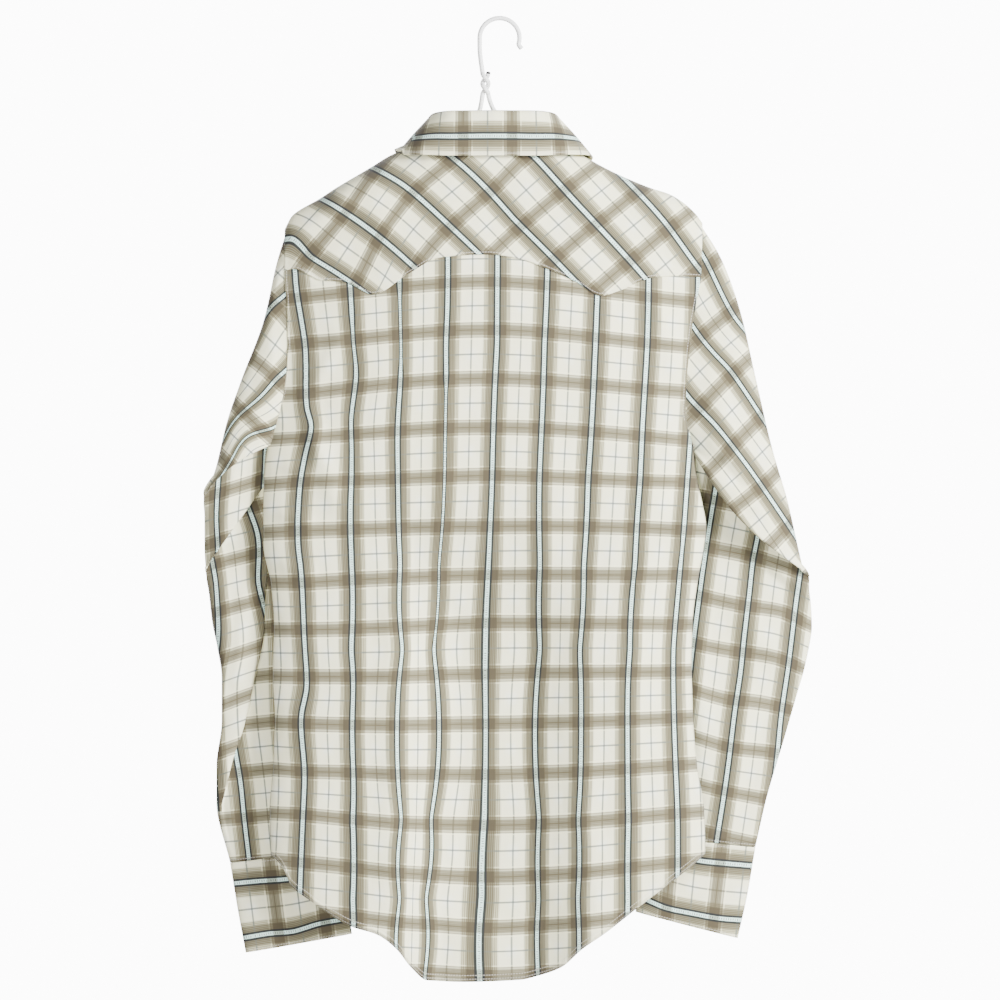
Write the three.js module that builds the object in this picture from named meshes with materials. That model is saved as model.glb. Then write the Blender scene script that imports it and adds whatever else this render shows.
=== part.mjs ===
import * as THREE from "three";

// Western snap shirt, snapped closed, on a bent wire hanger. Millimetres, +Z up.
// The shirt's back faces -Y and its front +Y; the wearer's left is -X.
// The origin is the inside top of the hanger's hook, where the hook hangs.

// Sizes
const CLOTH = 1.2; // wall of a single layer
const DOUBLED = 1.8; // wall of a doubled piece: collar, cuff, placket
const SEAM = 0.3; // gap between two pieces at a seam
const ARMHOLE_GAP = 0.9;
const WIRE_RADIUS = 2.2;
const HOOK_RADIUS = 19; // to the middle of the wire
const WIRE_STEPS = 110;
const RIDGE_ROLL = 26; // drop over which the shoulder turns from ridge to side
const NECK_ROLL = 55; // the same beside the neck
const SHOULDER_SEAM = 15; // how far the yoke reaches over the ridge to the front
const NECK_X = -5; // middle of the collar
const CENTRE_X = -7; // middle of the front placket
const PLACKET_WIDTH = 34;
const UNDERLAP = 2.6; // how far the right front lies under the placket
const BACK_RECESS = 34; // depth of the hollow down the middle of the back
const SHOULDER_GAP = 1.2; // seam between the yoke and the fronts
const FRONT_HEM_RISE = 3; // the front hems end this far above the back's
const STAND_LIFT = 0.9; // the collar stand starts this far above the neckline
const STAND_INSET = 2; // and this far inside it at the sides
const END_REACH = 230; // length of the neckline for each unit past its end
const LEAF_LIFT = 4.3; // the leaf's outer face over the shoulders
const LEAF_END = 0.97; // the leaf stops this far along the fold line
const LEAF_BEND = 8; // drop over which the leaf passes over the shoulder's ridge
const LEAF_SLOPE = 0.2; // its slope there, from front to back
const LEAF_BULGE = 5; // how far the leaf's middle swells out between its fold and edge
const END_RISE = 50; // the neckline's rise for each unit before its front end
const LEFT_ARMPIT = [-218, -391]; // x and z
const RIGHT_ARMPIT = [187, -402];
const SEAM_TOP = -383; // the side seams start here
const CUFF_LAP = 0.42; // radians past the full turn
const CUFF_START = 1.42 * Math.PI;
const LAP_STEP = 1.25; // how far each end of a cuff is moved in or out at its lap
const SNAP_RADIUS = 5.6;
const SNAP_LIFT = 0.5; // a cuff snap's seat over the middle of the wall
const COLLAR_SNAP_Y = 39.2; // seat of the collar snap

// Tables. Each row is read by the column names above it.
const table = (names, rows) => {
  const cols = {};
  names.split(" ").forEach((name, i) => {
    cols[name] = rows.map((row) => row[i]);
  });
  return cols;
};

const RIDGE = table("x z", [
  [-212, -212], [-205, -200], [-198, -187], [-192, -182], [-171, -170], [-159, -162],
  [-122, -140], [-104, -129], [-78, -118], [-60, -108], [-5, -100], [50, -108],
  [68, -120], [87, -133], [116, -148], [145, -160], [163, -166], [176, -174],
  [188, -185], [195, -195], [202, -208],
]);
const LEFT = table("z x", [
  [-920, -218], [-793, -218], [-755, -219], [-716, -216], [-664, -214], [-629, -216],
  [-574, -215], [-537, -218], [-501, -225], [-469, -225], [-424, -224], [-391, -217],
  [-375, -211.5], [-358, -206.5], [-340, -203], [-311, -201.5], [-270, -202.5],
  [-243, -204.5], [-200, -205],
]);
const RIGHT = table("z x", [
  [-920, 197], [-795, 197], [-755, 196], [-710, 189], [-658, 185], [-612, 184],
  [-574, 185], [-534, 190], [-507, 195], [-485, 198], [-459, 194], [-436, 189],
  [-402, 185], [-390, 180.5], [-375, 178], [-350, 178.5], [-320, 181], [-290, 184.5],
  [-268, 188.5], [-233, 194], [-195, 195],
]);
const YOKE = table("x z", [
  [-206, -240], [-196, -238], [-183, -243], [-171, -249], [-146, -251], [-132, -258],
  [-120, -263], [-87, -244], [-56, -228], [-11, -225], [18, -229], [44, -238],
  [73, -251], [97, -264], [115, -259], [133, -251], [145, -247], [172, -245], [195, -246],
]);
const HEM = table("x z", [
  [-218, -795], [-205, -810], [-198, -825], [-180, -839], [-153, -857], [-139, -864],
  [-116, -871], [-97, -885], [-83, -903], [-68, -916], [-35, -918], [20, -916],
  [40, -911], [59, -903], [79, -885], [102, -869], [129, -848], [158, -826],
  [187, -804], [197, -795],
]);
const DEPTH = table("z back front", [
  [-920, 32, 24], [-793, 32, 24], [-600, 30, 24], [-450, 31, 24], [-330, 34, 27],
  [-225, 39, 32], [-130, 42, 36], [-90, 42, 36],
]);
// The neckline from the middle of the back (at 0) to the middle of the front (at 1):
// half-width from the collar's middle, and the drop below the ridge, negative in front.
const NECKLINE = table("at half drop", [
  [0, 0, 30], [0.2, 35, 24], [0.32, 55, 15], [0.42, 68, 7], [0.48, 73, 0],
  [0.52, 73, -8], [0.56, 72.5, -15], [0.65, 70, -35], [0.75, 62, -58], [0.85, 45, -76],
  [0.93, 20, -93], [1, 0, -99],
]);
const NECK_CORNER = 0.56;
// The collar's fold line and the leaf's edge, from the middle of the back.
const FOLD = table("at half y z", [
  [0, 0, -38, -93], [0.2, 38, -33, -93], [0.35, 54, -17, -94], [0.48, 58, 0, -98],
  [0.6, 57, 13, -109], [0.75, 49, 27, -131], [0.9, 25, 36, -153], [1, 0, 40, -165],
]);
const LEAF = table("at half y z", [
  [0, 0, -50, -131], [0.15, 36, -49, -131], [0.3, 70, -40, -130], [0.42, 91, -18, -129],
  [0.5, 95, 3, -131], [0.62, 88, 28, -147], [0.8, 64, 46, -186], [0.92, 52, 51, -208],
  [1, 47, 52, -218],
]);
// The front yoke's lower edge: how far in from the armhole, and its height.
const FRONT_YOKE = table("in z", [
  [0, -262], [0.25, -268], [0.42, -283], [0.52, -296], [0.62, -283], [0.8, -270],
  [1, -268],
]);

// Rings of a sleeve, from the armhole to the cuff. Each ring lies between a point on the
// outer edge (ox oz) and one on the inner edge (ix iz), at the depths yo and yi. The wall
// towards the back stands "near" in front of that line and the other wall "far" behind
// it. bow moves the ring down the sleeve in its middle, and tuck moves only the near wall
// up the sleeve, under the fold above it. roll is how far in from the outer edge the
// near wall lies over the rest, as a share of the ring.
const RING = "ox oz ix iz yo yi near far bow tuck roll";
const RIGHT_SLEEVE = table(RING, [
  [195, -195, 185, -402, 0, 0, 14, 14, 0, 0, 0],
  [214, -228, 189, -403, 1, 1, 15, 15, 0, 0, 0],
  [231, -277, 190, -404, 2, 2, 16, 16, 2, 0, 0],
  [245, -339, 191, -405, 4, 3, 17, 17, 4, 0, 0],
  [261, -408, 192, -406, 6, 4, 19, 17, 6, 0, 0],
  [276, -459, 193, -407, 8, 6, 21, 16, 8, 0, 0],
  [285, -498, 193, -408, 12, 8, 25, 15, 10, 0, 0],
  [289, -514, 193, -410, 14, 11, 27, 15, 11, 0, 0],
  [290, -518, 193, -412, 15, 12, 26, 15, 12, 1, 0],
  [291, -521, 193, -414, 16, 13, 23.5, 15, 12, 6, 0],
  [292, -524, 193, -416, 16, 14, 20, 15, 12, 13, 0],
  [293, -528, 193, -418, 17, 15, 15.5, 15, 12, 15, 0],
  [295, -533, 192, -420, 18, 16, 12.5, 15, 12, 10, 0],
  [297, -542, 190, -423, 20, 19, 11, 15, 11, 0, 0],
  [299, -562, 184, -432, 23, 24, 9, 14, 9, 0, 0],
  [300, -580, 170, -480, 24, 27, 9, 13, 6, 0, 0],
  [294, -615, 159, -560, 26, 28, 9, 13, 3, 0, 0],
  [285, -647, 155, -619, 27, 29, 9, 13, 0, 0, 0],
  [273, -689, 155, -676, 28, 30, 10, 13, 0, 0, 0],
  [257, -743, 153, -735, 28, 30, 10, 13, 0, 0, 0],
  [246, -790.6, 143, -779.6, 28, 31, 10, 12, 0, 0, 0],
]);
const LEFT_SLEEVE = table(RING, [
  [-205, -200, -217, -391, 0, 0, 14, 14, 0, 0, 0],
  [-214, -232, -219, -392, 1, 1, 15, 18, 0, 0, 0],
  [-225, -285, -220, -394, 2, 2, 17, 22, 0, 0, 0],
  [-246, -342, -221, -396, 4, 3, 18, 24, -2, 0, 0],
  [-260, -383, -222, -398, 5, 4, 19, 25, -4, 0, 0],
  [-271, -428, -222, -400, 7, 6, 21, 25, -5, 0, 0],
  [-278, -447, -222, -402, 9, 8, 23.5, 24, -5, 0, 0],
  [-279, -450, -222, -404, 10, 9, 23, 24, -5, 1, 0],
  [-280, -453, -223, -406, 11, 10, 20, 24, -5, 5, 0],
  [-281, -456, -223, -408, 11, 11, 16.5, 24, -5, 10, 0],
  [-281, -460, -224, -410, 12, 12, 12.5, 24, -5, 11, 0],
  [-282, -465, -224, -413, 13, 13, 10, 24, -4, 6, 0],
  [-282, -476, -224, -418, 14, 15, 9.5, 23, -2, 0, 0],
  [-282, -505, -223, -424, 16, 18, 10, 22, 0, 0, 0],
  [-281, -523, -222, -428, 18, 20, 11, 20, 0, 0, 0],
  [-281, -526, -221, -431, 19, 21, 10, 19, 0, 4, 0],
  [-280, -529, -219, -435, 20, 22, 7.5, 18, 0, 6, 0],
  [-280, -534, -216, -441, 21, 23, 6, 17, 0, 3, 0],
  [-278, -548, -206, -475, 22, 25, 6, 15, 0, 0, 0.75],
  [-275, -575, -197, -530, 24, 28, 7, 13, 0, 0, 0.6],
  [-270, -600, -188, -585, 25, 29, 8, 13, 0, 0, 0.5],
  [-266, -629, -183, -619, 26, 30, 8, 13, 0, 0, 0.36],
  [-266, -670, -175, -663, 27, 30, 8, 13, 0, 0, 0.22],
  [-271, -712, -168, -702, 28, 30, 9, 13, 0, 0, 0.12],
  [-271, -750, -161, -743, 28, 30, 9, 13, 0, 0, 0],
  [-258, -805.6, -153, -791.6, 28, 31, 10, 12, 0, 0, 0],
]);
const RIGHT_CUFF = table(RING, [
  [246, -791, 143, -780, 28, 31, 10, 12, 0, 0, 0],
  [238, -838, 136, -818, 28, 31, 10.5, 12, 0, 0, 0],
  [229, -878, 131, -853, 28, 31, 10, 12, 0, 0, 0],
]);
const LEFT_CUFF = table(RING, [
  [-258, -806, -153, -792, 28, 31, 10, 12, 0, 0, 0],
  [-251, -849, -147, -833, 28, 31, 10.5, 12, 0, 0, 0],
  [-243, -892, -141, -874, 28, 31, 10, 12, 0, 0, 0],
]);
const ROLL_STEP = 6; // depth of the near wall's lengthwise step

// The wire below the neck twist, on each side.
const WIRE_LEFT = table("x z", [
  [-60, -116], [-78, -127], [-104, -137], [-122, -145.7], [-159, -167.6], [-178, -181],
  [-186, -187], [-188, -194], [-185, -200], [-178, -203],
]);
const WIRE_RIGHT = table("x z", [
  [168, -203], [175, -200], [178, -193], [175, -186], [167, -180], [145, -166.2],
  [116, -153.7], [87, -142], [68, -130], [50, -119],
]);

// Helpers
const clamp = (v) => Math.min(1, Math.max(0, v));
const smooth = (v) => {
  const t = clamp(v);
  return t * t * (3 - 2 * t);
};
const mix = (a, b, t) => a + (b - a) * t;
const steps = (n) => Array.from({ length: n + 1 }, (_, i) => i / n);

// A smooth curve through a table's column ys over its sorted column xs, held at its ends.
function curve(xs, ys) {
  const last = xs.length - 1;
  const slope = xs.slice(1).map((x, i) => (ys[i + 1] - ys[i]) / (x - xs[i]));
  const tangent = xs.map((_, i) => {
    if (i === 0) return slope[0];
    if (i === last) return slope[last - 1];
    const a = slope[i - 1];
    const b = slope[i];
    return a * b <= 0 ? 0 : (2 * a * b) / (a + b);
  });
  return (x) => {
    if (x <= xs[0]) return ys[0];
    if (x >= xs[last]) return ys[last];
    let i = 0;
    while (x > xs[i + 1]) i += 1;
    const h = xs[i + 1] - xs[i];
    const t = (x - xs[i]) / h;
    const t2 = t * t;
    const t3 = t2 * t;
    return (
      (2 * t3 - 3 * t2 + 1) * ys[i] +
      (t3 - 2 * t2 + t) * h * tangent[i] +
      (3 * t2 - 2 * t3) * ys[i + 1] +
      (t3 - t2) * h * tangent[i + 1]
    );
  };
}

const ridge = curve(RIDGE.x, RIDGE.z);
const left = curve(LEFT.z, LEFT.x);
const right = curve(RIGHT.z, RIGHT.x);
const yokeEdge = curve(YOKE.x, YOKE.z);
const hem = curve(HEM.x, HEM.z);
const backDepth = curve(DEPTH.z, DEPTH.back);
const frontDepth = curve(DEPTH.z, DEPTH.front);
const neckHalf = curve(NECKLINE.at, NECKLINE.half);
const neckDrop = curve(NECKLINE.at, NECKLINE.drop);
const frontYokeEdge = curve(FRONT_YOKE.in, FRONT_YOKE.z);

// The body: half its depth at x, z. It closes along the ridge above and along the side
// seams below the armholes, and stays open between them.
function bodyDepth(x, z, middle) {
  const l = left(z);
  const r = right(z);
  const s = Math.min(1, Math.abs((2 * x - l - r) / (r - l)));
  const over = (x - LEFT_ARMPIT[0]) / (RIGHT_ARMPIT[0] - LEFT_ARMPIT[0]);
  const armpit = mix(LEFT_ARMPIT[1], RIGHT_ARMPIT[1], clamp(over));
  const open = clamp((z - armpit) / 70);
  const edge = 12.5 * Math.sqrt(open);
  const across = Math.pow(Math.max(0, 1 - Math.pow(s, 2.6)), mix(0.5, 1, Math.sqrt(open)));
  const length = mix(NECK_ROLL, RIDGE_ROLL, clamp((Math.abs(x - NECK_X) - 60) / 80));
  const roll = 1 - clamp((ridge(x) - z) / length);
  return mix(edge, middle, across) * Math.sqrt(1 - roll * roll);
}

// The hollow down the middle of the back, at its full depth from the waist to the hem.
function recess(x, z) {
  const window = smooth((x + 92) / 30) * smooth((77 - x) / 38);
  return BACK_RECESS * smooth((-430 - z) / 190) * window;
}

const backY = (x, z) => -bodyDepth(x, z, backDepth(z)) + recess(x, z);
const frontY = (x, z) => bodyDepth(x, z, frontDepth(z));
const point = (x, y, z) => new THREE.Vector3(x, y, z);
const backPoint = (x, z) => point(x, backY(x, z), z);
const frontPoint = (x, z, out = 0) => point(x, frontY(x, z) + out, z);
// A point by its drop from the ridge, negative towards the front.
const overRidge = (x, drop) => {
  const z = ridge(x) - Math.abs(drop);
  return drop >= 0 ? backPoint(x, z) : frontPoint(x, z);
};

// A closed wall: the rows of points are its outer face, and the inner face lies
// thickness under them. side is 1 or -1. around joins each row's end to its start, and
// limit keeps the inner face on its own side of a seam.
function wall(rows, thickness, side, { around = false, limit = null } = {}) {
  const n = rows.length;
  const m = rows[0].length;
  const at = (i, j) => rows[i][around ? (j + m) % m : Math.min(m - 1, Math.max(0, j))];
  const inner = rows.map((row, i) =>
    row.map((p, j) => {
      const down = rows[Math.min(n - 1, i + 1)][j].clone().sub(rows[Math.max(0, i - 1)][j]);
      const along = at(i, j + 1).clone().sub(at(i, j - 1));
      const normal = down.cross(along).normalize().multiplyScalar(side * thickness);
      const under = p.clone().sub(normal);
      if (limit) limit(under);
      return under;
    }),
  );
  const position = [];
  [rows, inner].forEach((face) => face.flat().forEach((p) => position.push(p.x, p.y, p.z)));
  const outerId = (i, j) => i * m + (j % m);
  const innerId = (i, j) => n * m + i * m + (j % m);
  const index = [];
  const quad = (a, b, c, d) => index.push(a, b, c, a, c, d);
  const spans = around ? m : m - 1;
  for (let i = 0; i + 1 < n; i += 1) {
    for (let j = 0; j < spans; j += 1) {
      quad(outerId(i, j), outerId(i + 1, j), outerId(i + 1, j + 1), outerId(i, j + 1));
      quad(innerId(i, j), innerId(i, j + 1), innerId(i + 1, j + 1), innerId(i + 1, j));
    }
  }
  for (let j = 0; j < spans; j += 1) {
    quad(outerId(0, j), outerId(0, j + 1), innerId(0, j + 1), innerId(0, j));
    quad(outerId(n - 1, j), innerId(n - 1, j), innerId(n - 1, j + 1), outerId(n - 1, j + 1));
  }
  if (!around) {
    for (let i = 0; i + 1 < n; i += 1) {
      quad(outerId(i, 0), innerId(i, 0), innerId(i + 1, 0), outerId(i + 1, 0));
      quad(outerId(i, m - 1), outerId(i + 1, m - 1), innerId(i + 1, m - 1), innerId(i, m - 1));
    }
  }
  return closed(position, index);
}

// Geometry from positions and triangles, turned to face out.
function closed(position, index) {
  let volume = 0;
  const v = (i) => point(position[3 * i], position[3 * i + 1], position[3 * i + 2]);
  for (let i = 0; i < index.length; i += 3) {
    volume += v(index[i]).dot(v(index[i + 1]).cross(v(index[i + 2])));
  }
  if (volume < 0) {
    for (let i = 0; i < index.length; i += 3) {
      [index[i + 1], index[i + 2]] = [index[i + 2], index[i + 1]];
    }
  }
  const geometry = new THREE.BufferGeometry();
  geometry.setAttribute("position", new THREE.Float32BufferAttribute(position, 3));
  geometry.setIndex(index);
  geometry.computeVertexNormals();
  return geometry;
}

// A round wire along a path of points.
function wire(path, radius) {
  const circle = new THREE.Shape().absarc(0, 0, radius, 0, 2 * Math.PI);
  return new THREE.ExtrudeGeometry(circle, {
    steps: WIRE_STEPS,
    curveSegments: 4,
    bevelEnabled: false,
    extrudePath: new THREE.CatmullRomCurve3(path, false, "centripetal"),
  });
}

// Shares across the body, closer at the rounded sides and on the yoke's two points.
const ACROSS = [
  0, 0.006, 0.022, 0.05, 0.09, 0.13, 0.17, 0.214, 0.258, 0.305, 0.36, 0.42, 0.485, 0.55,
  0.61, 0.66, 0.708, 0.756, 0.802, 0.85, 0.9, 0.945, 0.975, 0.993, 1,
];

// The yoke's seam at a share across the body.
function yokeSeam(share) {
  let x = mix(left(-240), right(-246), share);
  let z = yokeEdge(x);
  for (let i = 0; i < 4; i += 1) {
    x = mix(left(z), right(z), share);
    z = yokeEdge(x);
  }
  return { x, z };
}

// Below the armholes the back and the fronts stay on their own sides of the side seams.
const SEAM_REACH = 40; // from a side seam
const bySeam = (p) =>
  p.z < SEAM_TOP && (p.x < left(p.z) + SEAM_REACH || p.x > right(p.z) - SEAM_REACH);
const towardsBack = (p) => {
  if (bySeam(p)) p.y = Math.min(p.y, -SEAM / 2);
};
const towardsFront = (p) => {
  if (bySeam(p)) p.y = Math.max(p.y, SEAM / 2);
};

// Shares down a panel, closer beside the armhole.
const DOWN = [0, 0.03, 0.06, 0.09, 0.12, 0.15, 0.18, 0.21, 0.24, 0.27, 0.31, 0.37, 0.43,
  0.5, 0.57, 0.64, 0.71, 0.78, 0.85, 0.92, 1];

const hemAt = (share) => hem(mix(left(-795), right(-795), share));

function backPanel() {
  return DOWN.map((down) =>
    ACROSS.map((share) => {
      const top = yokeSeam(share).z - SEAM / 2;
      const z = mix(top, hemAt(share), down);
      const p = backPoint(mix(left(z), right(z), share), z);
      towardsBack(p);
      return p;
    }),
  );
}

// The yoke from its seam up over the ridge to the shoulder seams and the neckline.
function backYoke() {
  const reach = [0, 0.25, 0.5, 0.7, 0.85, 0.94, 1];
  const neckStart = 0.3;
  const shoulderX = [left(-213) + SEAM, right(-213) - SEAM];
  const top = (share) => {
    const side = share < 0.5 ? 0 : 1;
    const sign = side ? 1 : -1;
    const inward = side ? 1 - share : share;
    if (inward <= neckStart) {
      const neck = NECK_X + sign * neckHalf(NECK_CORNER);
      return { x: mix(shoulderX[side], neck, inward / neckStart), drop: -SHOULDER_SEAM };
    }
    const at = NECK_CORNER * (1 - (inward - neckStart) / (0.5 - neckStart));
    return { x: NECK_X + sign * neckHalf(at), drop: neckDrop(at) };
  };
  const across = [...ACROSS.filter((v) => v < 0.31 || v > 0.7), 0.3, 0.308, 0.316, 0.324,
    0.333, 0.35, 0.37, 0.42, 0.46, 0.5, 0.54, 0.58, 0.63, 0.65, 0.667, 0.676, 0.684, 0.692,
    0.7].sort((a, b) => a - b);
  const columns = across.map((share) => {
    const seam = yokeSeam(share);
    const low = { x: seam.x, drop: ridge(seam.x) - seam.z - SEAM / 2 };
    const high = top(share);
    const crest = Math.max(0, high.drop + 4);
    const crestX = mix(low.x, high.x, 0.93);
    const back = reach.map((up) =>
      overRidge(mix(low.x, crestX, up), mix(low.drop, crest, up)));
    const over = [0.35, 1].map((up) =>
      overRidge(mix(crestX, high.x, up), mix(crest, high.drop, up)));
    return [...back, ...over];
  });
  return columns[0].map((_, i) => columns.map((column) => column[i]));
}

// The top of a front from the armhole (0) to the placket (1), along the shoulder seam
// and then the neckline.
const FRONT_NECK = 0.58;
function frontTop(inward, sign, edge) {
  const neck = NECK_X + sign * neckHalf(NECK_CORNER);
  if (inward <= FRONT_NECK) {
    const outer = sign < 0 ? left(-216) : right(-216);
    const x = mix(outer, neck, inward / FRONT_NECK);
    return { x, z: ridge(x) - SHOULDER_SEAM - SHOULDER_GAP };
  }
  const share = (inward - FRONT_NECK) / (1 - FRONT_NECK);
  let at = mix(NECK_CORNER, 1, share);
  const reach = (a) => sign * (NECK_X + sign * neckHalf(a) - edge);
  if (share > 0.5) {
    let low = 0.75;
    let high = 1;
    for (let i = 0; i < 30; i += 1) {
      const middle = (low + high) / 2;
      if (reach(middle) > 0) low = middle;
      else high = middle;
    }
    at = mix(mix(NECK_CORNER, 1, 0.5), low, (share - 0.5) / 0.5);
  }
  const x = NECK_X + sign * neckHalf(at);
  return { x, z: ridge(x) - Math.abs(neckDrop(at)) - 0.5 };
}

const underlap = (x, sign) =>
  sign > 0 ? -UNDERLAP * (1 - smooth((x - CENTRE_X - PLACKET_WIDTH / 2) / 12)) : 0;

const frontEdge = (sign) =>
  sign < 0 ? CENTRE_X - PLACKET_WIDTH / 2 - SEAM : CENTRE_X - PLACKET_WIDTH / 2 + 4;

const FRONT_ACROSS = [0, 0.012, 0.045, 0.1, 0.18, 0.27, 0.36, 0.44, 0.52, 0.58, 0.64,
  0.72, 0.8, 0.86, 0.93, 1];

function frontSeam(inward, sign) {
  const side = sign < 0 ? left : right;
  const z = frontYokeEdge(inward);
  return { x: mix(side(z), frontEdge(sign), inward), z };
}

function frontYoke(sign) {
  return steps(5).map((down) =>
    FRONT_ACROSS.map((inward) => {
      const high = frontTop(inward, sign, frontEdge(sign));
      const low = frontSeam(inward, sign);
      const z = mix(high.z, low.z + SEAM / 2, down);
      const x = mix(high.x, low.x, down);
      return frontPoint(x, z, underlap(x, sign));
    }),
  );
}

function frontPanel(sign) {
  const side = sign < 0 ? left : right;
  return DOWN.map((down) =>
    FRONT_ACROSS.map((inward) => {
      const edge = frontEdge(sign);
      const bottom = hem(mix(side(-795), edge, inward)) + FRONT_HEM_RISE;
      const z = mix(frontYokeEdge(inward) - SEAM / 2, bottom, down);
      const x = mix(side(z), edge, inward);
      const p = frontPoint(x, z, underlap(x, sign));
      towardsFront(p);
      return p;
    }),
  );
}

function placket() {
  const half = PLACKET_WIDTH / 2;
  const top = ridge(CENTRE_X) + neckDrop(1) - SEAM;
  return steps(18).map((down) =>
    steps(3).map((share) => {
      const x = mix(CENTRE_X - half, CENTRE_X + half, share);
      return frontPoint(x, mix(top, hem(x) + FRONT_HEM_RISE, down), 0.6);
    }),
  );
}

// Round the neck, from the end on the left front (-1) past the back (0) to the end on the
// right front (1). A number past 1 or below -1 carries on over the placket.
const around = (column, from) => {
  const f = curve(from.at, from[column]);
  return (v) => f(Math.min(1, Math.abs(v)));
};
const NECK_ROUND = [
  -1.06, -1, -0.94, -0.87, -0.8, -0.72, -0.65, -0.6, -0.56, -0.52, -0.48, -0.44, -0.4,
  -0.34, -0.26, -0.17, -0.08, 0, 0.08, 0.17, 0.26, 0.34, 0.4, 0.44, 0.48, 0.52, 0.56, 0.6,
  0.65, 0.72, 0.8, 0.87, 0.94, 1, 1.06,
];
const pastEnd = (v) => (Math.abs(v) > 1 ? -(Math.abs(v) - 1) * END_REACH : 0);

function neckPoint(v) {
  const a = Math.min(1, Math.abs(v));
  const x = NECK_X + Math.sign(v) * (neckHalf(a) + pastEnd(v));
  const drop = neckDrop(a);
  const p = overRidge(x, drop);
  if (a > 0.93) p.z = ridge(NECK_X) + drop + END_RISE * (1 - a);
  return p;
}

// The left end lies over the right end in front.
const lap = (v) => (v < 0 ? 1.7 : -0.9) * smooth((Math.abs(v) - 0.86) / 0.1);

function foldPoint(v) {
  const half = around("half", FOLD)(v) + pastEnd(v);
  const x = NECK_X + Math.sign(v) * half;
  return point(x, around("y", FOLD)(v), around("z", FOLD)(v));
}

function collarStand() {
  return steps(4).map((up) =>
    NECK_ROUND.map((v) => {
      const low = neckPoint(v);
      low.z += STAND_LIFT;
      if (Math.abs(v) < 1) low.x -= STAND_INSET * Math.sign(v) * smooth(Math.abs(v) / 0.4);
      const p = low.lerp(foldPoint(v), up);
      p.y += lap(v);
      return p;
    }),
  );
}

// Keeps a point of the leaf clear of the shoulders and the fronts under it.
function restOn(p) {
  const drop = ridge(p.x) - p.z;
  const middle = p.y < 0 ? backDepth(p.z) : frontDepth(p.z);
  if (drop < LEAF_BEND) {
    const need = bodyDepth(p.x, ridge(p.x) - LEAF_BEND, middle) + LEAF_LIFT;
    const over = ridge(p.x) + LEAF_LIFT - Math.abs(p.y) * LEAF_SLOPE;
    if (Math.abs(p.y) < need) p.z = Math.max(p.z, over);
    return p;
  }
  const depth = bodyDepth(p.x, p.z, middle) + LEAF_LIFT;
  if (Math.abs(p.y) < depth) p.y = Math.sign(p.y) * depth;
  return p;
}

// The leaf rises inside the stand's top, rolls over it and falls outside to its edge.
function collarLeaf() {
  const roll = [[-2, 1.8], [-1.5, 3.8], [0.8, 5], [3.8, 4.3], [6, 1.6]];
  const fall = [0.2, 0.4, 0.6, 0.8, 1];
  const round = NECK_ROUND.filter((v) => Math.abs(v) <= 1).map((v) => v * LEAF_END);
  const make = (v) => {
    const fold = foldPoint(v);
    fold.y += lap(v);
    const s = Math.abs(v) / LEAF_END;
    const half = around("half", LEAF)(s);
    const edge = point(NECK_X + Math.sign(v || 1) * half, around("y", LEAF)(s),
      around("z", LEAF)(s));
    if (v === 0) edge.x = NECK_X;
    const along = foldPoint(v + 0.02).sub(foldPoint(v - 0.02));
    const out = point(along.y, -along.x, 0).normalize();
    const rolled = roll.map(([n, z]) =>
      fold.clone().addScaledVector(out, n).add(point(0, 0, z)));
    const start = rolled[rolled.length - 1];
    const fallen = fall.map((t) =>
      restOn(start.clone().lerp(edge, t).addScaledVector(out, LEAF_BULGE * t * (1 - t))));
    return [...rolled, ...fallen];
  };
  const columns = round.map(make);
  return columns[0].map((_, i) => columns.map((column) => column[i]));
}

// One ring of a sleeve or cuff. The first half of the ring is the near wall.
const RING_POINTS = 28;
function ring(rows, i, shares) {
  const low = { x: rows.ix[i], y: rows.yi[i], z: rows.iz[i] };
  const high = { x: rows.ox[i], y: rows.yo[i], z: rows.oz[i] };
  const length = Math.hypot(low.x - high.x, low.z - high.z);
  let upX = -(low.z - high.z) / length;
  let upZ = (low.x - high.x) / length;
  if (upZ < 0 || (Math.abs(upZ) < 0.2 && upX * high.x < 0)) {
    upX = -upX;
    upZ = -upZ;
  }
  return shares.map((angle) => {
    const t = (1 - Math.cos(angle)) / 2;
    const swell = Math.pow(Math.abs(Math.sin(angle)), 0.75);
    const isNear = Math.sin(angle) > 0;
    const middle = mix(high.y, low.y, t);
    const fold = rows.roll[i] > 0 ? ROLL_STEP * smooth((rows.roll[i] - t) / 0.08) : 0;
    const near = middle - rows.near[i] * swell - fold * swell;
    const y = isNear ? near : middle + rows.far[i] * swell;
    const shift = (isNear ? rows.tuck[i] : 0) * swell - rows.bow[i] * Math.sin(Math.PI * t);
    return point(mix(high.x, low.x, t) + shift * upX, y, mix(high.z, low.z, t) + shift * upZ);
  });
}

const RING_ANGLES = steps(RING_POINTS).slice(0, RING_POINTS).map((v) => 2 * Math.PI * v);

// The armhole of the body as a ring, moved out by the gap at the seam.
function armhole(rows, sign) {
  const side = sign < 0 ? left : right;
  return RING_ANGLES.map((angle) => {
    const t = (1 - Math.cos(angle)) / 2;
    const z = mix(rows.oz[0], rows.iz[0], t);
    const x = side(z);
    const y = Math.sin(angle) > 0 ? backY(x, z) : frontY(x, z);
    return point(x + sign * ARMHOLE_GAP, t < 0.001 || t > 0.999 ? 0 : y, z);
  });
}

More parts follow.
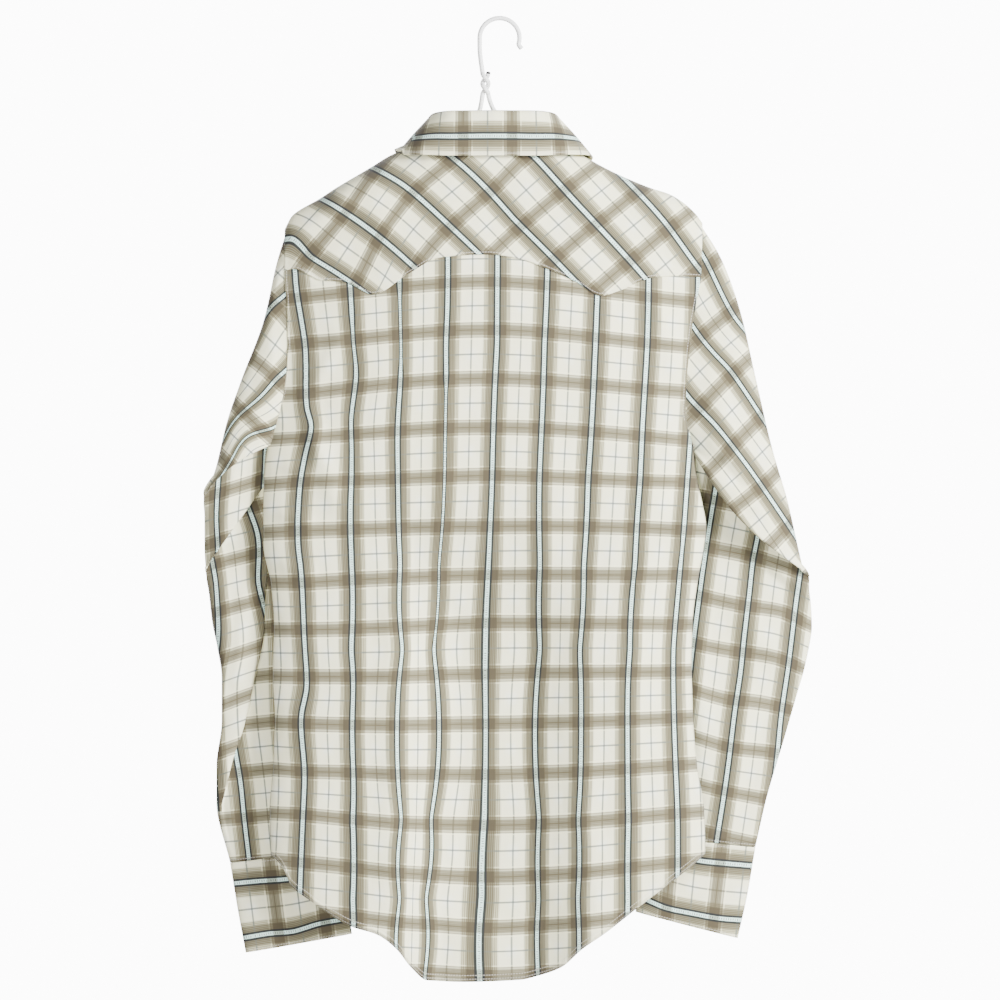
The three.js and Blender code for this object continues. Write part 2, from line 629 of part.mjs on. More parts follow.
function sleeve(rows, sign) {
  const start = armhole(rows, sign);
  const blend = [0, 0.4, 0.75, 0.93];
  return rows.ox.map((_, i) => {
    const plain = ring(rows, i, RING_ANGLES);
    if (i >= blend.length) return plain;
    const move = point(rows.ox[i] - rows.ox[0], rows.yo[i], rows.oz[i] - rows.oz[0]);
    return plain.map((p, k) => {
      const t = (1 - Math.cos(RING_ANGLES[k])) / 2;
      const from = start[k].clone().addScaledVector(move, 1 - t);
      const inner = point(rows.ix[i] - rows.ix[0], rows.yi[i], rows.iz[i] - rows.iz[0]);
      return from.addScaledVector(inner, t).lerp(p, blend[i]);
    });
  });
}

// A cuff is one band whose ends lap on the far side, the outer end over the inner one.
function cuff(rows, sign) {
  const angles = steps(31).map((v) => CUFF_START + v * (2 * Math.PI + CUFF_LAP));
  const bands = rows.ox.map((_, i) => ring(rows, i, angles));
  return bands.map((band) =>
    band.map((p, k) => {
      const ends = smooth(k / 6) + smooth((k - 25) / 6) - 1;
      return p.clone().add(point(0, -LAP_STEP * ends, 0));
    }),
  );
}

// A snap's cap, turned about +Y: a rim and a domed face.
function snap(x, y, z) {
  const profile = [
    [0, 0], [SNAP_RADIUS - 0.6, 0], [SNAP_RADIUS, 0.9], [SNAP_RADIUS - 0.5, 1.7],
    [SNAP_RADIUS - 1.3, 1.9], [SNAP_RADIUS - 3, 2.6], [0, 2.9],
  ].map(([radius, height]) => new THREE.Vector2(radius, height));
  return new THREE.LatheGeometry(profile, 12).translate(x, y, z);
}

function hangerPath() {
  const path = [point(21.5, 0, -27)];
  const centreZ = WIRE_RADIUS - HOOK_RADIUS;
  steps(16).forEach((v) => {
    const angle = mix(-0.3, Math.PI, v);
    path.push(point(0.5 + HOOK_RADIUS * Math.cos(angle), 0, centreZ + HOOK_RADIUS * Math.sin(angle)));
  });
  path.push(point(-18.4, 0, -28));
  path.push(point(-17.6, 0, -37));
  const twist = 2.75;
  const axis = -13;
  const strand = (v, phase) => {
    const angle = phase + 2 * Math.PI * v;
    return point(axis + twist * Math.cos(angle), twist * Math.sin(angle), mix(-50, -71, v));
  };
  steps(10).forEach((v) => path.push(strand(v, Math.PI)));
  path.push(point(-19, 0, -87));
  WIRE_LEFT.x.forEach((x, i) => path.push(point(x, 0, WIRE_LEFT.z[i])));
  [-90, 0, 90].forEach((x) => path.push(point(x, 0, -203)));
  WIRE_RIGHT.x.forEach((x, i) => path.push(point(x, 0, WIRE_RIGHT.z[i])));
  path.push(point(-4, 0, -87));
  steps(10).forEach((v) => path.push(strand(1 - v, 0)));
  return path;
}

// Materials
const cotton = () => new THREE.MeshStandardMaterial({ color: 0xd6d2c6, roughness: 0.9 });
const coated = () => new THREE.MeshStandardMaterial({ color: 0xf2f2f0, roughness: 0.4 });
const pearl = () =>
  new THREE.MeshStandardMaterial({ color: 0xeeeae2, roughness: 0.3, metalness: 0.1 });

const shirt = new THREE.Group();
function add(name, geometry, material) {
  const mesh = new THREE.Mesh(geometry, material);
  mesh.name = name;
  shirt.add(mesh);
}

add("hanger", wire(hangerPath(), WIRE_RADIUS), coated());
add("back_panel", wall(backPanel(), CLOTH, 1, { limit: towardsBack }), cotton());
add("back_yoke", wall(backYoke(), CLOTH, -1), cotton());
add("left_front_yoke", wall(frontYoke(-1), CLOTH, -1), cotton());
add("right_front_yoke", wall(frontYoke(1), CLOTH, 1), cotton());
add("left_front", wall(frontPanel(-1), CLOTH, -1, { limit: towardsFront }), cotton());
add("right_front", wall(frontPanel(1), CLOTH, 1, { limit: towardsFront }), cotton());
add("front_placket", wall(placket(), DOUBLED, -1), cotton());
add("collar_stand", wall(collarStand(), DOUBLED, -1), cotton());
add("collar_leaf", wall(collarLeaf(), DOUBLED - 0.2, 1), cotton());
add("left_sleeve", wall(sleeve(LEFT_SLEEVE, -1), CLOTH, 1, { around: true }), cotton());
add("right_sleeve", wall(sleeve(RIGHT_SLEEVE, 1), CLOTH, -1, { around: true }), cotton());
add("left_cuff", wall(cuff(LEFT_CUFF, -1), DOUBLED, 1), cotton());
add("right_cuff", wall(cuff(RIGHT_CUFF, 1), DOUBLED, -1), cotton());

// Snaps down the placket, the first on the collar stand.
const SNAP_Z = table("z", [[-184], [-245], [-345], [-445], [-545], [-645], [-745]]);
SNAP_Z.z.forEach((z, i) => {
  const y = i === 0 ? COLLAR_SNAP_Y : frontY(CENTRE_X, z) + 0.95;
  add("placket_snap_" + (i + 1), snap(CENTRE_X, y, z), pearl());
});

// Three snaps on each cuff, on the lap behind.
[["left", LEFT_CUFF], ["right", RIGHT_CUFF]].forEach(([side, rows]) => {
  [0.24, 0.5, 0.76].forEach((down, i) => {
    const angle = CUFF_START + 0.2;
    const t = (1 - Math.cos(angle)) / 2;
    const end = rows.ox.length - 1;
    const x = mix(mix(rows.ox[0], rows.ox[end], down), mix(rows.ix[0], rows.ix[end], down), t);
    const z = mix(mix(rows.oz[0], rows.oz[end], down), mix(rows.iz[0], rows.iz[end], down), t);
    const y = mix(rows.yo[0], rows.yi[0], t) + rows.far[0] + LAP_STEP + SNAP_LIFT;
    add(side + "_cuff_snap_" + (i + 1), snap(x, y, z), pearl());
  });
});

export default shirt;
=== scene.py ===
"""Western snap shirt on a wire hanger: cloth panels, sleeves, collar, cuffs, snaps and wire."""
import math

import bpy
import numpy as np
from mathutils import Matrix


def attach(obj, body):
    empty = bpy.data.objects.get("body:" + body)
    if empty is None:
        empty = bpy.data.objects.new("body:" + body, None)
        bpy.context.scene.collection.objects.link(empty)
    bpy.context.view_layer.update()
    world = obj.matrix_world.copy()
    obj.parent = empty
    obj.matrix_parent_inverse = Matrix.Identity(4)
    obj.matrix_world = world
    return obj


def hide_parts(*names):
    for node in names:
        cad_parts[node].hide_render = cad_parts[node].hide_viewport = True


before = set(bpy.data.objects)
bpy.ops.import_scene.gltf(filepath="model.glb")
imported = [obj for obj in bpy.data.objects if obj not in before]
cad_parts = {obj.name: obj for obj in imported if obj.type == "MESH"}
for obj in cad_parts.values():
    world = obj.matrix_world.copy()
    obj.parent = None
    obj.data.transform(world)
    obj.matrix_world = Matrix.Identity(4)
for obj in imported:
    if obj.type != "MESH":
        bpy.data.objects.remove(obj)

bl_info = {
    "name": "Western Snap Shirt",
    "version": (1, 0, 0),
    "blender": (4, 5, 0),
    "location": "View3D > Sidebar > Shirt",
    "description": "Builds a plaid western snap shirt on a wire hanger",
    "category": "Add Mesh",
}

MM = 0.001
SEAM = 0.3
SHOULDER_SEAM = 15.0
NECK_X = -5.0
CENTRE_X = -7.0
PLACKET_WIDTH = 34.0
NECK_CORNER = 0.56
FRONT_NECK = 0.58
ARMPIT = -383.0
HEM_DEPTH = 4.0  # how much further in a hem is stitched
YOKE_LAP = 5.0  # how far the back reaches up under the yoke
ROLL_STEP = 7.0  # how far the left forearm's rolled layer stands out
BACK_ROWS = 150
BACK_COLUMNS = 190
SLEEVE_ROWS = 7  # rows of faces between two rows of a sleeve's table
RING_COLUMNS = 144
SPLIT = 0.45


def table(names, rows):
    """A table's columns by name, as arrays."""
    return dict(zip(names.split(), np.array(rows, dtype=float).T))


RIDGE = table("x z", [
    (-212, -212), (-205, -200), (-198, -187), (-192, -182), (-171, -170), (-159, -162),
    (-122, -140), (-104, -129), (-78, -118), (-60, -108), (-5, -100), (50, -108),
    (68, -120), (87, -133), (116, -148), (145, -160), (163, -166), (176, -174),
    (188, -185), (195, -195), (202, -208)])
LEFT = table("z x", [
    (-920, -218), (-793, -218), (-755, -219), (-716, -216), (-664, -214), (-629, -216),
    (-574, -215), (-537, -218), (-501, -225), (-469, -225), (-424, -224), (-391, -217),
    (-375, -211.5), (-358, -206.5), (-340, -203), (-311, -201.5), (-270, -202.5),
    (-243, -204.5), (-200, -205)])
RIGHT = table("z x", [
    (-920, 197), (-795, 197), (-755, 196), (-710, 189), (-658, 185), (-612, 184),
    (-574, 185), (-534, 190), (-507, 195), (-485, 198), (-459, 194), (-436, 189),
    (-402, 185), (-390, 180.5), (-375, 178), (-350, 178.5), (-320, 181), (-290, 184.5),
    (-268, 188.5), (-233, 194), (-195, 195)])
YOKE = table("x z", [
    (-206, -240), (-196, -238), (-183, -243), (-171, -249), (-146, -251), (-132, -258),
    (-120, -263), (-87, -244), (-56, -228), (-11, -225), (18, -229), (44, -238),
    (73, -251), (97, -264), (115, -259), (133, -251), (145, -247), (172, -245), (195, -246)])
HEM = table("x z", [
    (-218, -795), (-205, -810), (-198, -825), (-180, -839), (-153, -857), (-139, -864),
    (-116, -871), (-97, -885), (-83, -903), (-68, -916), (-35, -918), (20, -916),
    (40, -911), (59, -903), (79, -885), (102, -869), (129, -848), (158, -826),
    (187, -804), (197, -795)])
DEPTH = table("z back front", [
    (-920, 32, 24), (-793, 32, 24), (-600, 30, 24), (-450, 31, 24), (-330, 34, 27),
    (-225, 39, 32), (-130, 42, 36), (-90, 42, 36)])
NECKLINE = table("at half drop", [
    (0, 0, 30), (0.2, 35, 24), (0.32, 55, 15), (0.42, 68, 7), (0.48, 73, 0),
    (0.52, 73, -8), (0.56, 72.5, -15), (0.65, 70, -35), (0.75, 62, -58), (0.85, 45, -76),
    (0.93, 20, -93), (1, 0, -99)])
FOLD = table("at half y z", [
    (0, 0, -38, -93), (0.2, 38, -33, -93), (0.35, 54, -17, -94), (0.48, 58, 0, -98),
    (0.6, 57, 13, -109), (0.75, 49, 27, -131), (0.9, 25, 36, -153), (1, 0, 40, -165)])
LEAF = table("at half y z", [
    (0, 0, -47, -131.5), (0.15, 36, -46, -131.5), (0.3, 70, -40, -130), (0.42, 91, -18, -129),
    (0.5, 95, 3, -131), (0.62, 88, 28, -147), (0.8, 64, 46, -186), (0.92, 52, 51, -208),
    (1, 47, 52, -218)])
FRONT_YOKE = table("in z", [
    (0, -262), (0.25, -268), (0.42, -283), (0.52, -296), (0.62, -283), (0.8, -270), (1, -268)])

RING = "ox oz ix iz yo yi near far bow tuck roll"
RIGHT_SLEEVE = table(RING, [
    (195, -195, 185, -402, 0, 0, 14, 14, 0, 0, 0),
    (214, -228, 185, -403, 1, 1, 15, 15, 0, 0, 0),
    (231, -277, 184, -404, 2, 2, 16, 16, 2, 0, 0),
    (245, -339, 184, -405, 4, 3, 17, 17, 4, 0, 0),
    (261, -408, 186, -406, 6, 4, 19, 17, 6, 0, 0),
    (276, -459, 185, -407, 8, 6, 21, 16, 8, 0, 0),
    (285, -498, 184, -408, 12, 8, 25, 15, 10, 0, 0),
    (291, -524, 184, -410, 14, 11, 27, 15, 11, 0, 0),
    (292, -527, 184, -412, 15, 12, 26, 15, 12, 1, 0),
    (293, -530, 184, -414, 16, 13, 23.5, 15, 12, 6, 0),
    (294, -533, 184, -416, 16, 14, 20, 15, 12, 13, 0),
    (295, -537, 184, -418, 17, 15, 15.5, 15, 12, 15, 0),
    (296, -542, 183, -420, 18, 16, 12.5, 15, 12, 10, 0),
    (298, -550, 182, -423, 20, 19, 11, 15, 11, 0, 0),
    (299.5, -565, 180, -432, 23, 24, 9, 14, 9, 0, 0),
    (300, -580, 170, -480, 24, 27, 9, 13, 6, 0, 0),
    (294, -615, 159, -560, 26, 28, 9, 13, 3, 0, 0),
    (285, -647, 155, -619, 27, 29, 9, 13, 0, 0, 0),
    (273, -689, 155, -676, 28, 30, 10, 13, 0, 0, 0),
    (257, -743, 153, -735, 28, 30, 10, 13, 0, 0, 0),
    (246, -790.6, 143, -779.6, 28, 31, 10, 12, 0, 0, 0)])
LEFT_SLEEVE = table(RING, [
    (-205, -200, -217, -391, 0, 0, 14, 14, 0, 0, 0),
    (-214, -232, -214, -392, 1, 1, 15, 18, 0, 0, 0),
    (-225, -285, -213, -394, 2, 2, 17, 22, 0, 0, 0),
    (-246, -342, -214, -396, 4, 3, 18, 24, -2, 0, 0),
    (-260, -383, -213, -398, 5, 4, 19, 25, -4, 0, 0),
    (-271, -428, -212, -400, 7, 6, 21, 25, -5, 0, 0),
    (-278, -447, -212, -402, 9, 8, 23.5, 24, -5, 0, 0),
    (-279, -450, -212, -404, 10, 9, 23, 24, -5, 1, 0),
    (-280, -453, -213, -406, 11, 10, 20, 24, -5, 5, 0),
    (-281, -456, -213, -408, 11, 11, 16.5, 24, -5, 10, 0),
    (-281, -460, -214, -410, 12, 12, 12.5, 24, -5, 11, 0),
    (-282, -465, -214, -413, 13, 13, 10, 24, -4, 6, 0),
    (-282, -476, -214, -418, 14, 15, 9.5, 23, -2, 0, 0),
    (-282, -505, -214, -424, 16, 18, 10, 22, 0, 0, 0),
    (-281, -523, -213, -428, 18, 20, 11, 20, 0, 0, 0),
    (-281, -526, -213, -431, 19, 21, 10, 19, 0, 4, 0),
    (-280, -529, -212, -435, 20, 22, 7.5, 18, 0, 6, 0),
    (-280, -534, -216, -441, 21, 23, 6, 17, 0, 3, 0),
    (-278, -548, -206, -475, 22, 25, 6, 15, 0, 0, 0.75),
    (-275, -575, -197, -530, 24, 28, 7, 13, 0, 0, 0.6),
    (-270, -600, -188, -585, 25, 29, 8, 13, 0, 0, 0.5),
    (-266, -629, -183, -619, 26, 30, 8, 13, 0, 0, 0.36),
    (-266, -670, -175, -663, 27, 30, 8, 13, 0, 0, 0.22),
    (-271, -712, -168, -702, 28, 30, 9, 13, 0, 0, 0.12),
    (-271, -750, -161, -743, 28, 30, 9, 13, 0, 0, 0),
    (-258, -805.6, -153, -791.6, 28, 31, 10, 12, 0, 0, 0)])
RIGHT_CUFF = table(RING, [
    (246, -791, 143, -780, 28, 31, 10, 12, 0, 0, 0),
    (238, -838, 136, -818, 28, 31, 10.5, 12, 0, 0, 0),
    (229, -878, 131, -853, 28, 31, 10, 12, 0, 0, 0)])
LEFT_CUFF = table(RING, [
    (-258, -806, -153, -792, 28, 31, 10, 12, 0, 0, 0),
    (-251, -849, -147, -833, 28, 31, 10.5, 12, 0, 0, 0),
    (-243, -892, -141, -874, 28, 31, 10, 12, 0, 0, 0)])
WIRE_LEFT = table("x z", [
    (-60, -116), (-78, -127), (-104, -137), (-122, -145.7), (-159, -167.6), (-178, -181),
    (-186, -187), (-188, -194), (-185, -200), (-178, -203)])
WIRE_RIGHT = table("x z", [
    (168, -203), (175, -200), (178, -193), (175, -186), (167, -180), (145, -166.2),
    (116, -153.7), (87, -142), (68, -130), (50, -119)])

# Where the plaid's stripes lie on the back: at each height, the x of each stripe.
BACK_STRIPES = table("z s0 s1 s2 s3 s4 s5 s6 s7", [
    (-310.6, -184.6, -138.2, -93.1, -50.3, -1.9, 43.2, 91.6, 141.0),
    (-438.9, -188.8, -140.3, -96, -51.8, -6.6, 38.5, 84.8, 134.2),
    (-519.6, -189, -140.1, -94, -57, -10, 38.9, 80.8, 129.2),
    (-600.4, -184.6, -140.3, -92, -62, -13, 38.9, 77, 124.4),
    (-761.9, -186.7, -138.9, -92.9, -64.6, -14.1, 38, 75.5, 122.9),
    (-837.9, -189.7, -138.9, -94.6, -69.3, -16.7, 37.6, 75, 122.5),
    (-913.9, -191.9, -139.7, -95.9, -70.7, -18.3, 37, 75, 122.5)])
STRIPE_BENDS = table("stripe x z", [
    (0, -192.8, -258.4), (0, -182.4, -372.4), (0, -178.6, -386.6), (0, -183.3, -410.4),
    (0, -190.9, -505.4), (0, -183.3, -638.4), (0, -188.1, -662.1), (0, -185.2, -714.4),
    (1, -141.5, -253.6), (1, -135.8, -339.1), (1, -140.6, -381.9), (8, 179.5, -438.9),
    (8, 172.9, -519.6), (8, 166.2, -600.4), (8, 170, -761.9), (8, 170, -837.9)])
BACK_BANDS = table("band left middle right", [
    (0, -265.1, -250.8, -267.9), (1, -308.8, -296.4, -311.6), (2, -357.2, -342.5, -354.3),
    (3, -399, -389, -400.4), (4, -440.8, -434.6, -440.8), (5, -487.3, -483.2, -486.4),
    (6, -536.8, -529.5, -529.1), (7, -581.4, -575.2, -576.6), (8, -626, -624.1, -621.3),
    (9, -670.7, -671.6, -665.5), (10, -716.3, -720.1, -710.6), (11, -757.1, -768.5, -756.2),
    (12, -803, -817.9, -803), (13, -849, -866.4, -849), (14, -895, -911, -895)])
YOKE_STRIPES = table("number x z", [
    (-2.5, -212, -236), (-2.5, -190, -245), (-2, -212.8, -211.8), (-2, -197.6, -209), (-2, -179.5, -226.1), (-2, -128.2, -260.3),
    (-1, -171, -170), (-1, -130.2, -195.7), (-1, -78.8, -238.4),
    (0, -121.6, -140.6), (0, -91.2, -158.7), (0, -19, -224.2),
    (1, -41.8, -134.9), (1, 14.7, -191.9), (1, 70.3, -247.9),
    (2, 36.1, -134.9), (2, 88.3, -191.9), (2, 140.6, -248.9),
    (3, 118.8, -151), (3, 157.7, -193.8), (3, 189, -235.6)])
YOKE_BANDS = table("number x z", [
    (1, -175.8, -220.1), (1, -142.5, -181.2), (1, -117.2, -144.9),
    (2, -135.4, -250.8), (2, -113, -207.6), (2, -81, -165.8), (2, -47.6, -137.9),
    (3, -78.3, -236.5), (3, -47.6, -200.4), (3, -8.5, -165.8), (3, 20.7, -136.5),
    (4, -2.9, -220.1), (4, 26.3, -193.6), (4, 58.3, -167.2), (4, 91.8, -140.6),
    (5, 56.9, -225.7), (5, 91.8, -196.5), (5, 125.2, -170),
    (6, 94.5, -256.3), (6, 130.7, -225.7), (6, 162.8, -199.2), (6, 182.3, -183.9)])
# The same for each stretch of the sleeves that shows, and the cuffs.
UPPER_RIGHT_STRIPES = table("number x z", [
    (0, 199.5, -234.6), (0, 225.6, -285), (1, 185, -292.6), (1, 219.5, -333.5),
    (1, 253.7, -382.9), (2, 183.4, -362.9), (2, 206.2, -386.7), (2, 237.5, -426.6),
    (2, 281.2, -489.3)])
UPPER_RIGHT_BANDS = table("number x z", [
    (1, 197.6, -297.4), (1, 225.6, -274.6), (2, 210.9, -349.6), (2, 232.8, -328.7),
    (3, 207.1, -423.7), (3, 224.2, -404.7), (3, 241.8, -387.1), (4, 224.2, -465.5),
    (4, 236.6, -456), (4, 255.6, -440.4), (5, 262, -497.4), (5, 271.7, -487.4)])
LOWER_RIGHT_STRIPES = table("number x z", [
    (0, 287.7, -530.7), (0, 282.8, -569.4), (0, 278.5, -607), (0, 274.4, -636), (0, 270.1, -666.3),
    (0, 266.5, -704.9), (1, 248, -488), (1, 243.2, -514.9), (1, 239.8, -546.3), (1, 234.9, -587.6),
    (1, 231.3, -624.2), (1, 226.5, -655.5), (1, 220.4, -704.9), (1, 208, -788.5),
    (2, 207.7, -441.8), (2, 196.7, -514.9), (2, 185.3, -600.4)])
LOWER_RIGHT_BANDS = table("number x z", [
    (0, 205.2, -504.5), (0, 225.6, -508.3), (0, 256.5, -515.9), (0, 281.2, -524.4),
    (1, 202.3, -552.4), (1, 237.4, -559.7), (1, 256.8, -562.1), (1, 274.9, -565.8),
    (1, 293.1, -575.5), (2, 196.2, -597.3), (2, 230.1, -603.3), (2, 256.8, -607),
    (2, 274.9, -611.8), (2, 288.2, -617.9), (3, 190, -641), (3, 220.4, -649.4),
    (3, 239.8, -650.7), (3, 266.5, -655.5), (4, 190, -685.7), (4, 218, -694.3),
    (4, 244.6, -697.9), (4, 264.1, -700.2)])
UPPER_LEFT_STRIPES = table("number x z", [
    (0, -204.9, -263.2), (0, -217.3, -273.6), (0, -225.5, -284.9), (1, -199.8, -331.3),
    (1, -212.1, -342.6), (1, -227.6, -360), (1, -264.1, -401.9), (2, -217.6, -390),
    (2, -240.4, -398.1), (2, -247.9, -406.6), (2, -260.3, -428.4)])
UPPER_LEFT_BANDS = table("number x z", [
    (0, -206, -279.7), (0, -213, -273.6), (0, -201.4, -286), (1, -235.9, -323),
    (1, -225.5, -330.6), (1, -215.3, -339.4), (2, -257.5, -361.9), (2, -246, -372.4),
    (2, -234.6, -382.9)])
MIDDLE_LEFT_STRIPES = table("number x z", [
    (1, -267.9, -437), (1, -269.1, -495.9), (0.62, -251.2, -431.3), (0.62, -254.6, -479.8),
    (0, -224, -431), (0, -226, -480)])
MIDDLE_LEFT_BANDS = table("number x z", [
    (0, -270, -452), (0, -232, -440), (1, -270, -498), (1, -232, -486)])
OUTER_LEFT_STRIPES = table("number x z", [
    (0, -240.4, -463.6), (0, -230.9, -491.2), (0, -229.9, -515.9), (0, -230.4, -536.8),
    (0, -223.5, -564.3), (0, -215.8, -612.8), (1, -271, -536.8), (1, -269.1, -592.8),
    (0.5, -254.6, -500.7), (0.5, -249.9, -628.9)])
OUTER_LEFT_BANDS = table("number x z", [
    (0, -260, -516), (0, -232, -509), (1, -260, -562), (1, -232, -554.5), (2, -260, -608.5),
    (2, -238, -601), (3, -262, -653), (3, -244, -646)])
LOWER_LEFT_STRIPES = table("number x z", [
    (1, -262, -620), (1, -255.6, -682.6), (1, -247.9, -725.8), (1, -244.2, -761.9),
    (1, -239.4, -803.7), (0, -206, -610), (0, -204, -700), (0, -196, -800)])
LOWER_LEFT_BANDS = table("number x z", [
    (-1, -233, -582), (0, -233, -627), (1, -232, -671.7), (2, -232, -717.3), (3, -231, -761),
    (0, -260, -630), (1, -262, -675), (2, -262, -720), (3, -255, -763)])
RIGHT_CUFF_STRIPES = table("number x z", [
    (0, 188.7, -802.8), (0, 211.9, -805.6), (0, 242, -808.4), (1, 140.1, -840.7),
    (1, 158.7, -848.4), (1, 180.5, -853.1), (1, 211.9, -858.8), (1, 233.2, -860.7)])
RIGHT_CUFF_BANDS = table("number x z", [
    (1, 212.8, -796.1), (1, 204.2, -873), (0, 162.5, -824.6), (0, 159.6, -863.5)])
LEFT_CUFF_STRIPES = table("number x z", [
    (0, -254.6, -825.5), (0, -227, -822.7), (0, -201.4, -820.8), (1, -246, -877.8),
    (1, -218.5, -873), (1, -196.7, -871.1), (1, -174.8, -864.5), (1, -147.7, -859.7)])
LEFT_CUFF_BANDS = table("number x z", [
    (0, -219.4, -805.6), (0, -209, -887.3), (1, -168.2, -847.4), (1, -164.4, -875.9)])

# The left forearm's rolled layer: how far across it reaches and how far it is raised.
LEFT_ROLL = table("row share raised", [
    (0, 0.42, 0), (13, 0.42, 0), (16, 0.8, 0), (17, 0.86, 0), (18, 0.8, 0.7), (19, 0.62, 1),
    (20, 0.5, 1), (21, 0.36, 1), (22, 0.22, 1), (23, 0.12, 0.8), (24, 0.04, 0.3),
    (25, 0.03, 0)])

# Soft folds across a panel: a ridge of cloth along a line, by the height it stands out.
BACK_FOLDS = table("x1 z1 x2 z2 wide high", [
    (-178, -392, -150, -470, 12, 3.5), (180, -470, 126, -545, 12, 4),
    (-196, -330, -170, -420, 10, 2.5), (-110, -300, -120, -420, 22, 2),
    (95, -290, 110, -420, 24, 2), (-205, -590, -130, -600, 26, 2.5),
    (-205, -680, -120, -690, 30, 2), (-200, -770, -110, -765, 30, 2),
    (150, -620, 185, -600, 20, 2), (165, -400, 150, -470, 12, 2.5),
    (-48, -330, -68, -640, 9, 2.5), (-66, -640, -72, -860, 16, 3),
    (-98, -540, -100, -820, 14, 3), (-22, -520, -16, -860, 18, -3),
    (40, -480, 44, -840, 18, 3), (84, -420, 96, -780, 16, -2.5),
    (130, -560, 124, -800, 15, 2.5), (-205, -425, -180, -436, 7, 2),
    (-84, -480, -88, -850, 11, -3), (-40, -560, -34, -860, 10, -2.5),
    (-212, -470, -176, -482, 8, 2.2), (-210, -520, -178, -530, 9, 2),
    (186, -420, 168, -520, 7, 3), (188, -650, 150, -668, 14, 1.8),
    (190, -730, 150, -742, 16, 1.6), (-150, -300, -176, -352, 8, 2.2),
    (150, -262, 168, -330, 10, 2.2)])
FRONT_FOLDS = table("x1 z1 x2 z2 wide high", [
    (-150, -290, -120, -400, 20, 2.5), (120, -290, 100, -420, 22, 2.2),
    (-170, -400, -130, -520, 14, 3), (160, -420, 110, -560, 14, 3),
    (-90, -430, -100, -800, 18, 3), (-140, -560, -150, -820, 16, 2.5),
    (60, -400, 66, -820, 20, 3), (120, -600, 128, -820, 16, 2.5),
    (-205, -640, -140, -660, 18, 2), (180, -600, 130, -620, 16, 2)])
RIGHT_NEAR_FOLDS = table("x1 z1 x2 z2 wide high", [
    (190, -300, 232, -430, 9, 1.8), (196, -380, 262, -470, 9, 2.4),
    (200, -400, 240, -440, 6, 2), (214, -240, 232, -330, 10, 1.4),
    (205, -430, 290, -505, 7, 1.8), (222, -560, 276, -620, 12, 2.4),
    (200, -640, 282, -600, 12, -2), (190, -560, 196, -700, 10, 2.2),
    (240, -640, 216, -760, 12, 2.4), (266, -660, 246, -770, 7, 2),
    (180, -700, 172, -780, 10, 1.8), (296, -560, 286, -640, 7, 1.6)])
RIGHT_FAR_FOLDS = table("x1 z1 x2 z2 wide high", [
    (200, -330, 250, -450, 12, 2.4), (210, -470, 270, -520, 10, 2.4),
    (200, -600, 280, -640, 14, 2.4), (210, -700, 190, -780, 12, 2)])
LEFT_NEAR_FOLDS = table("x1 z1 x2 z2 wide high", [
    (-212, -300, -232, -380, 8, 1.8), (-218, -392, -262, -420, 5, 2),
    (-220, -400, -272, -436, 5, -1.6), (-232, -440, -262, -500, 8, 2.2),
    (-252, -430, -270, -520, 6, 2), (-242, -540, -252, -640, 10, 2.6),
    (-262, -540, -266, -660, 6, 2.2), (-236, -600, -262, -622, 8, 1.8),
    (-228, -560, -238, -600, 7, -1.8), (-240, -660, -262, -676, 8, 1.8),
    (-222, -660, -216, -790, 10, 2.2), (-246, -700, -232, -790, 8, 2.4),
    (-200, -640, -194, -760, 9, -2), (-262, -700, -252, -790, 5, 1.8)])
LEFT_FAR_FOLDS = table("x1 z1 x2 z2 wide high", [
    (-214, -330, -262, -430, 12, 2.4), (-220, -470, -270, -510, 10, 2.4),
    (-210, -600, -262, -640, 14, 2.4), (-220, -700, -206, -790, 12, 2)])

# Narrow tucks that hide part of a stripe.
PINCHES = table("x1 z1 x2 z2 wide high", [
    (-51, -350, -60, -590, 12, 1), (-97, -262, -92, -330, 10, 0.8),
    (-140, -290, -140, -330, 10, 0.5), (172, -500, 130, -540, 9, 0.6)])
YOKE_FOLDS = table("x1 z1 x2 z2 wide high", [
    (150, -172, 196, -222, 6, 1.6), (150, -196, 194, -214, 5, 1.2),
    (-150, -168, -200, -215, 9, 1.4), (-20, -150, -60, -215, 26, 1.2),
    (-150, -222, -196, -232, 7, 1.6), (-120, -170, -100, -240, 14, 1.6),
    (60, -140, 90, -230, 18, 1.6), (120, -165, 180, -236, 7, 1.8),
    (0, -128, 40, -190, 16, 1.2), (-90, -140, -40, -160, 10, 1.2)])


def smooth(value):
    """The smoothstep 3t^2 - 2t^3 of a value held between 0 and 1."""
    t = np.clip(value, 0.0, 1.0)
    return t * t * (3.0 - 2.0 * t)


def mix(a, b, t):
    return a + (b - a) * t


def curve(xs, ys):
    """A smooth curve y(x) through sorted points, held at its ends.

    A cubic between neighbours, with the harmonic mean of the two slopes as its tangent,
    so that it never overshoots a point.
    """
    step = np.diff(xs)
    slope = np.diff(ys) / step
    product = slope[:-1] * slope[1:]
    total = slope[:-1] + slope[1:]
    inner = np.where(product > 0, 2 * product / np.where(total == 0, 1, total), 0.0)
    tangent = np.concatenate([slope[:1], inner, slope[-1:]])

    def at(x):
        x = np.clip(np.asarray(x, dtype=float), xs[0], xs[-1])
        i = np.clip(np.searchsorted(xs, x, side="right") - 1, 0, len(xs) - 2)
        t = (x - xs[i]) / step[i]
        t2 = t * t
        t3 = t2 * t
        return ((2 * t3 - 3 * t2 + 1) * ys[i] + (t3 - 2 * t2 + t) * step[i] * tangent[i]
                + (3 * t2 - 2 * t3) * ys[i + 1] + (t3 - t2) * step[i] * tangent[i + 1])

    return at


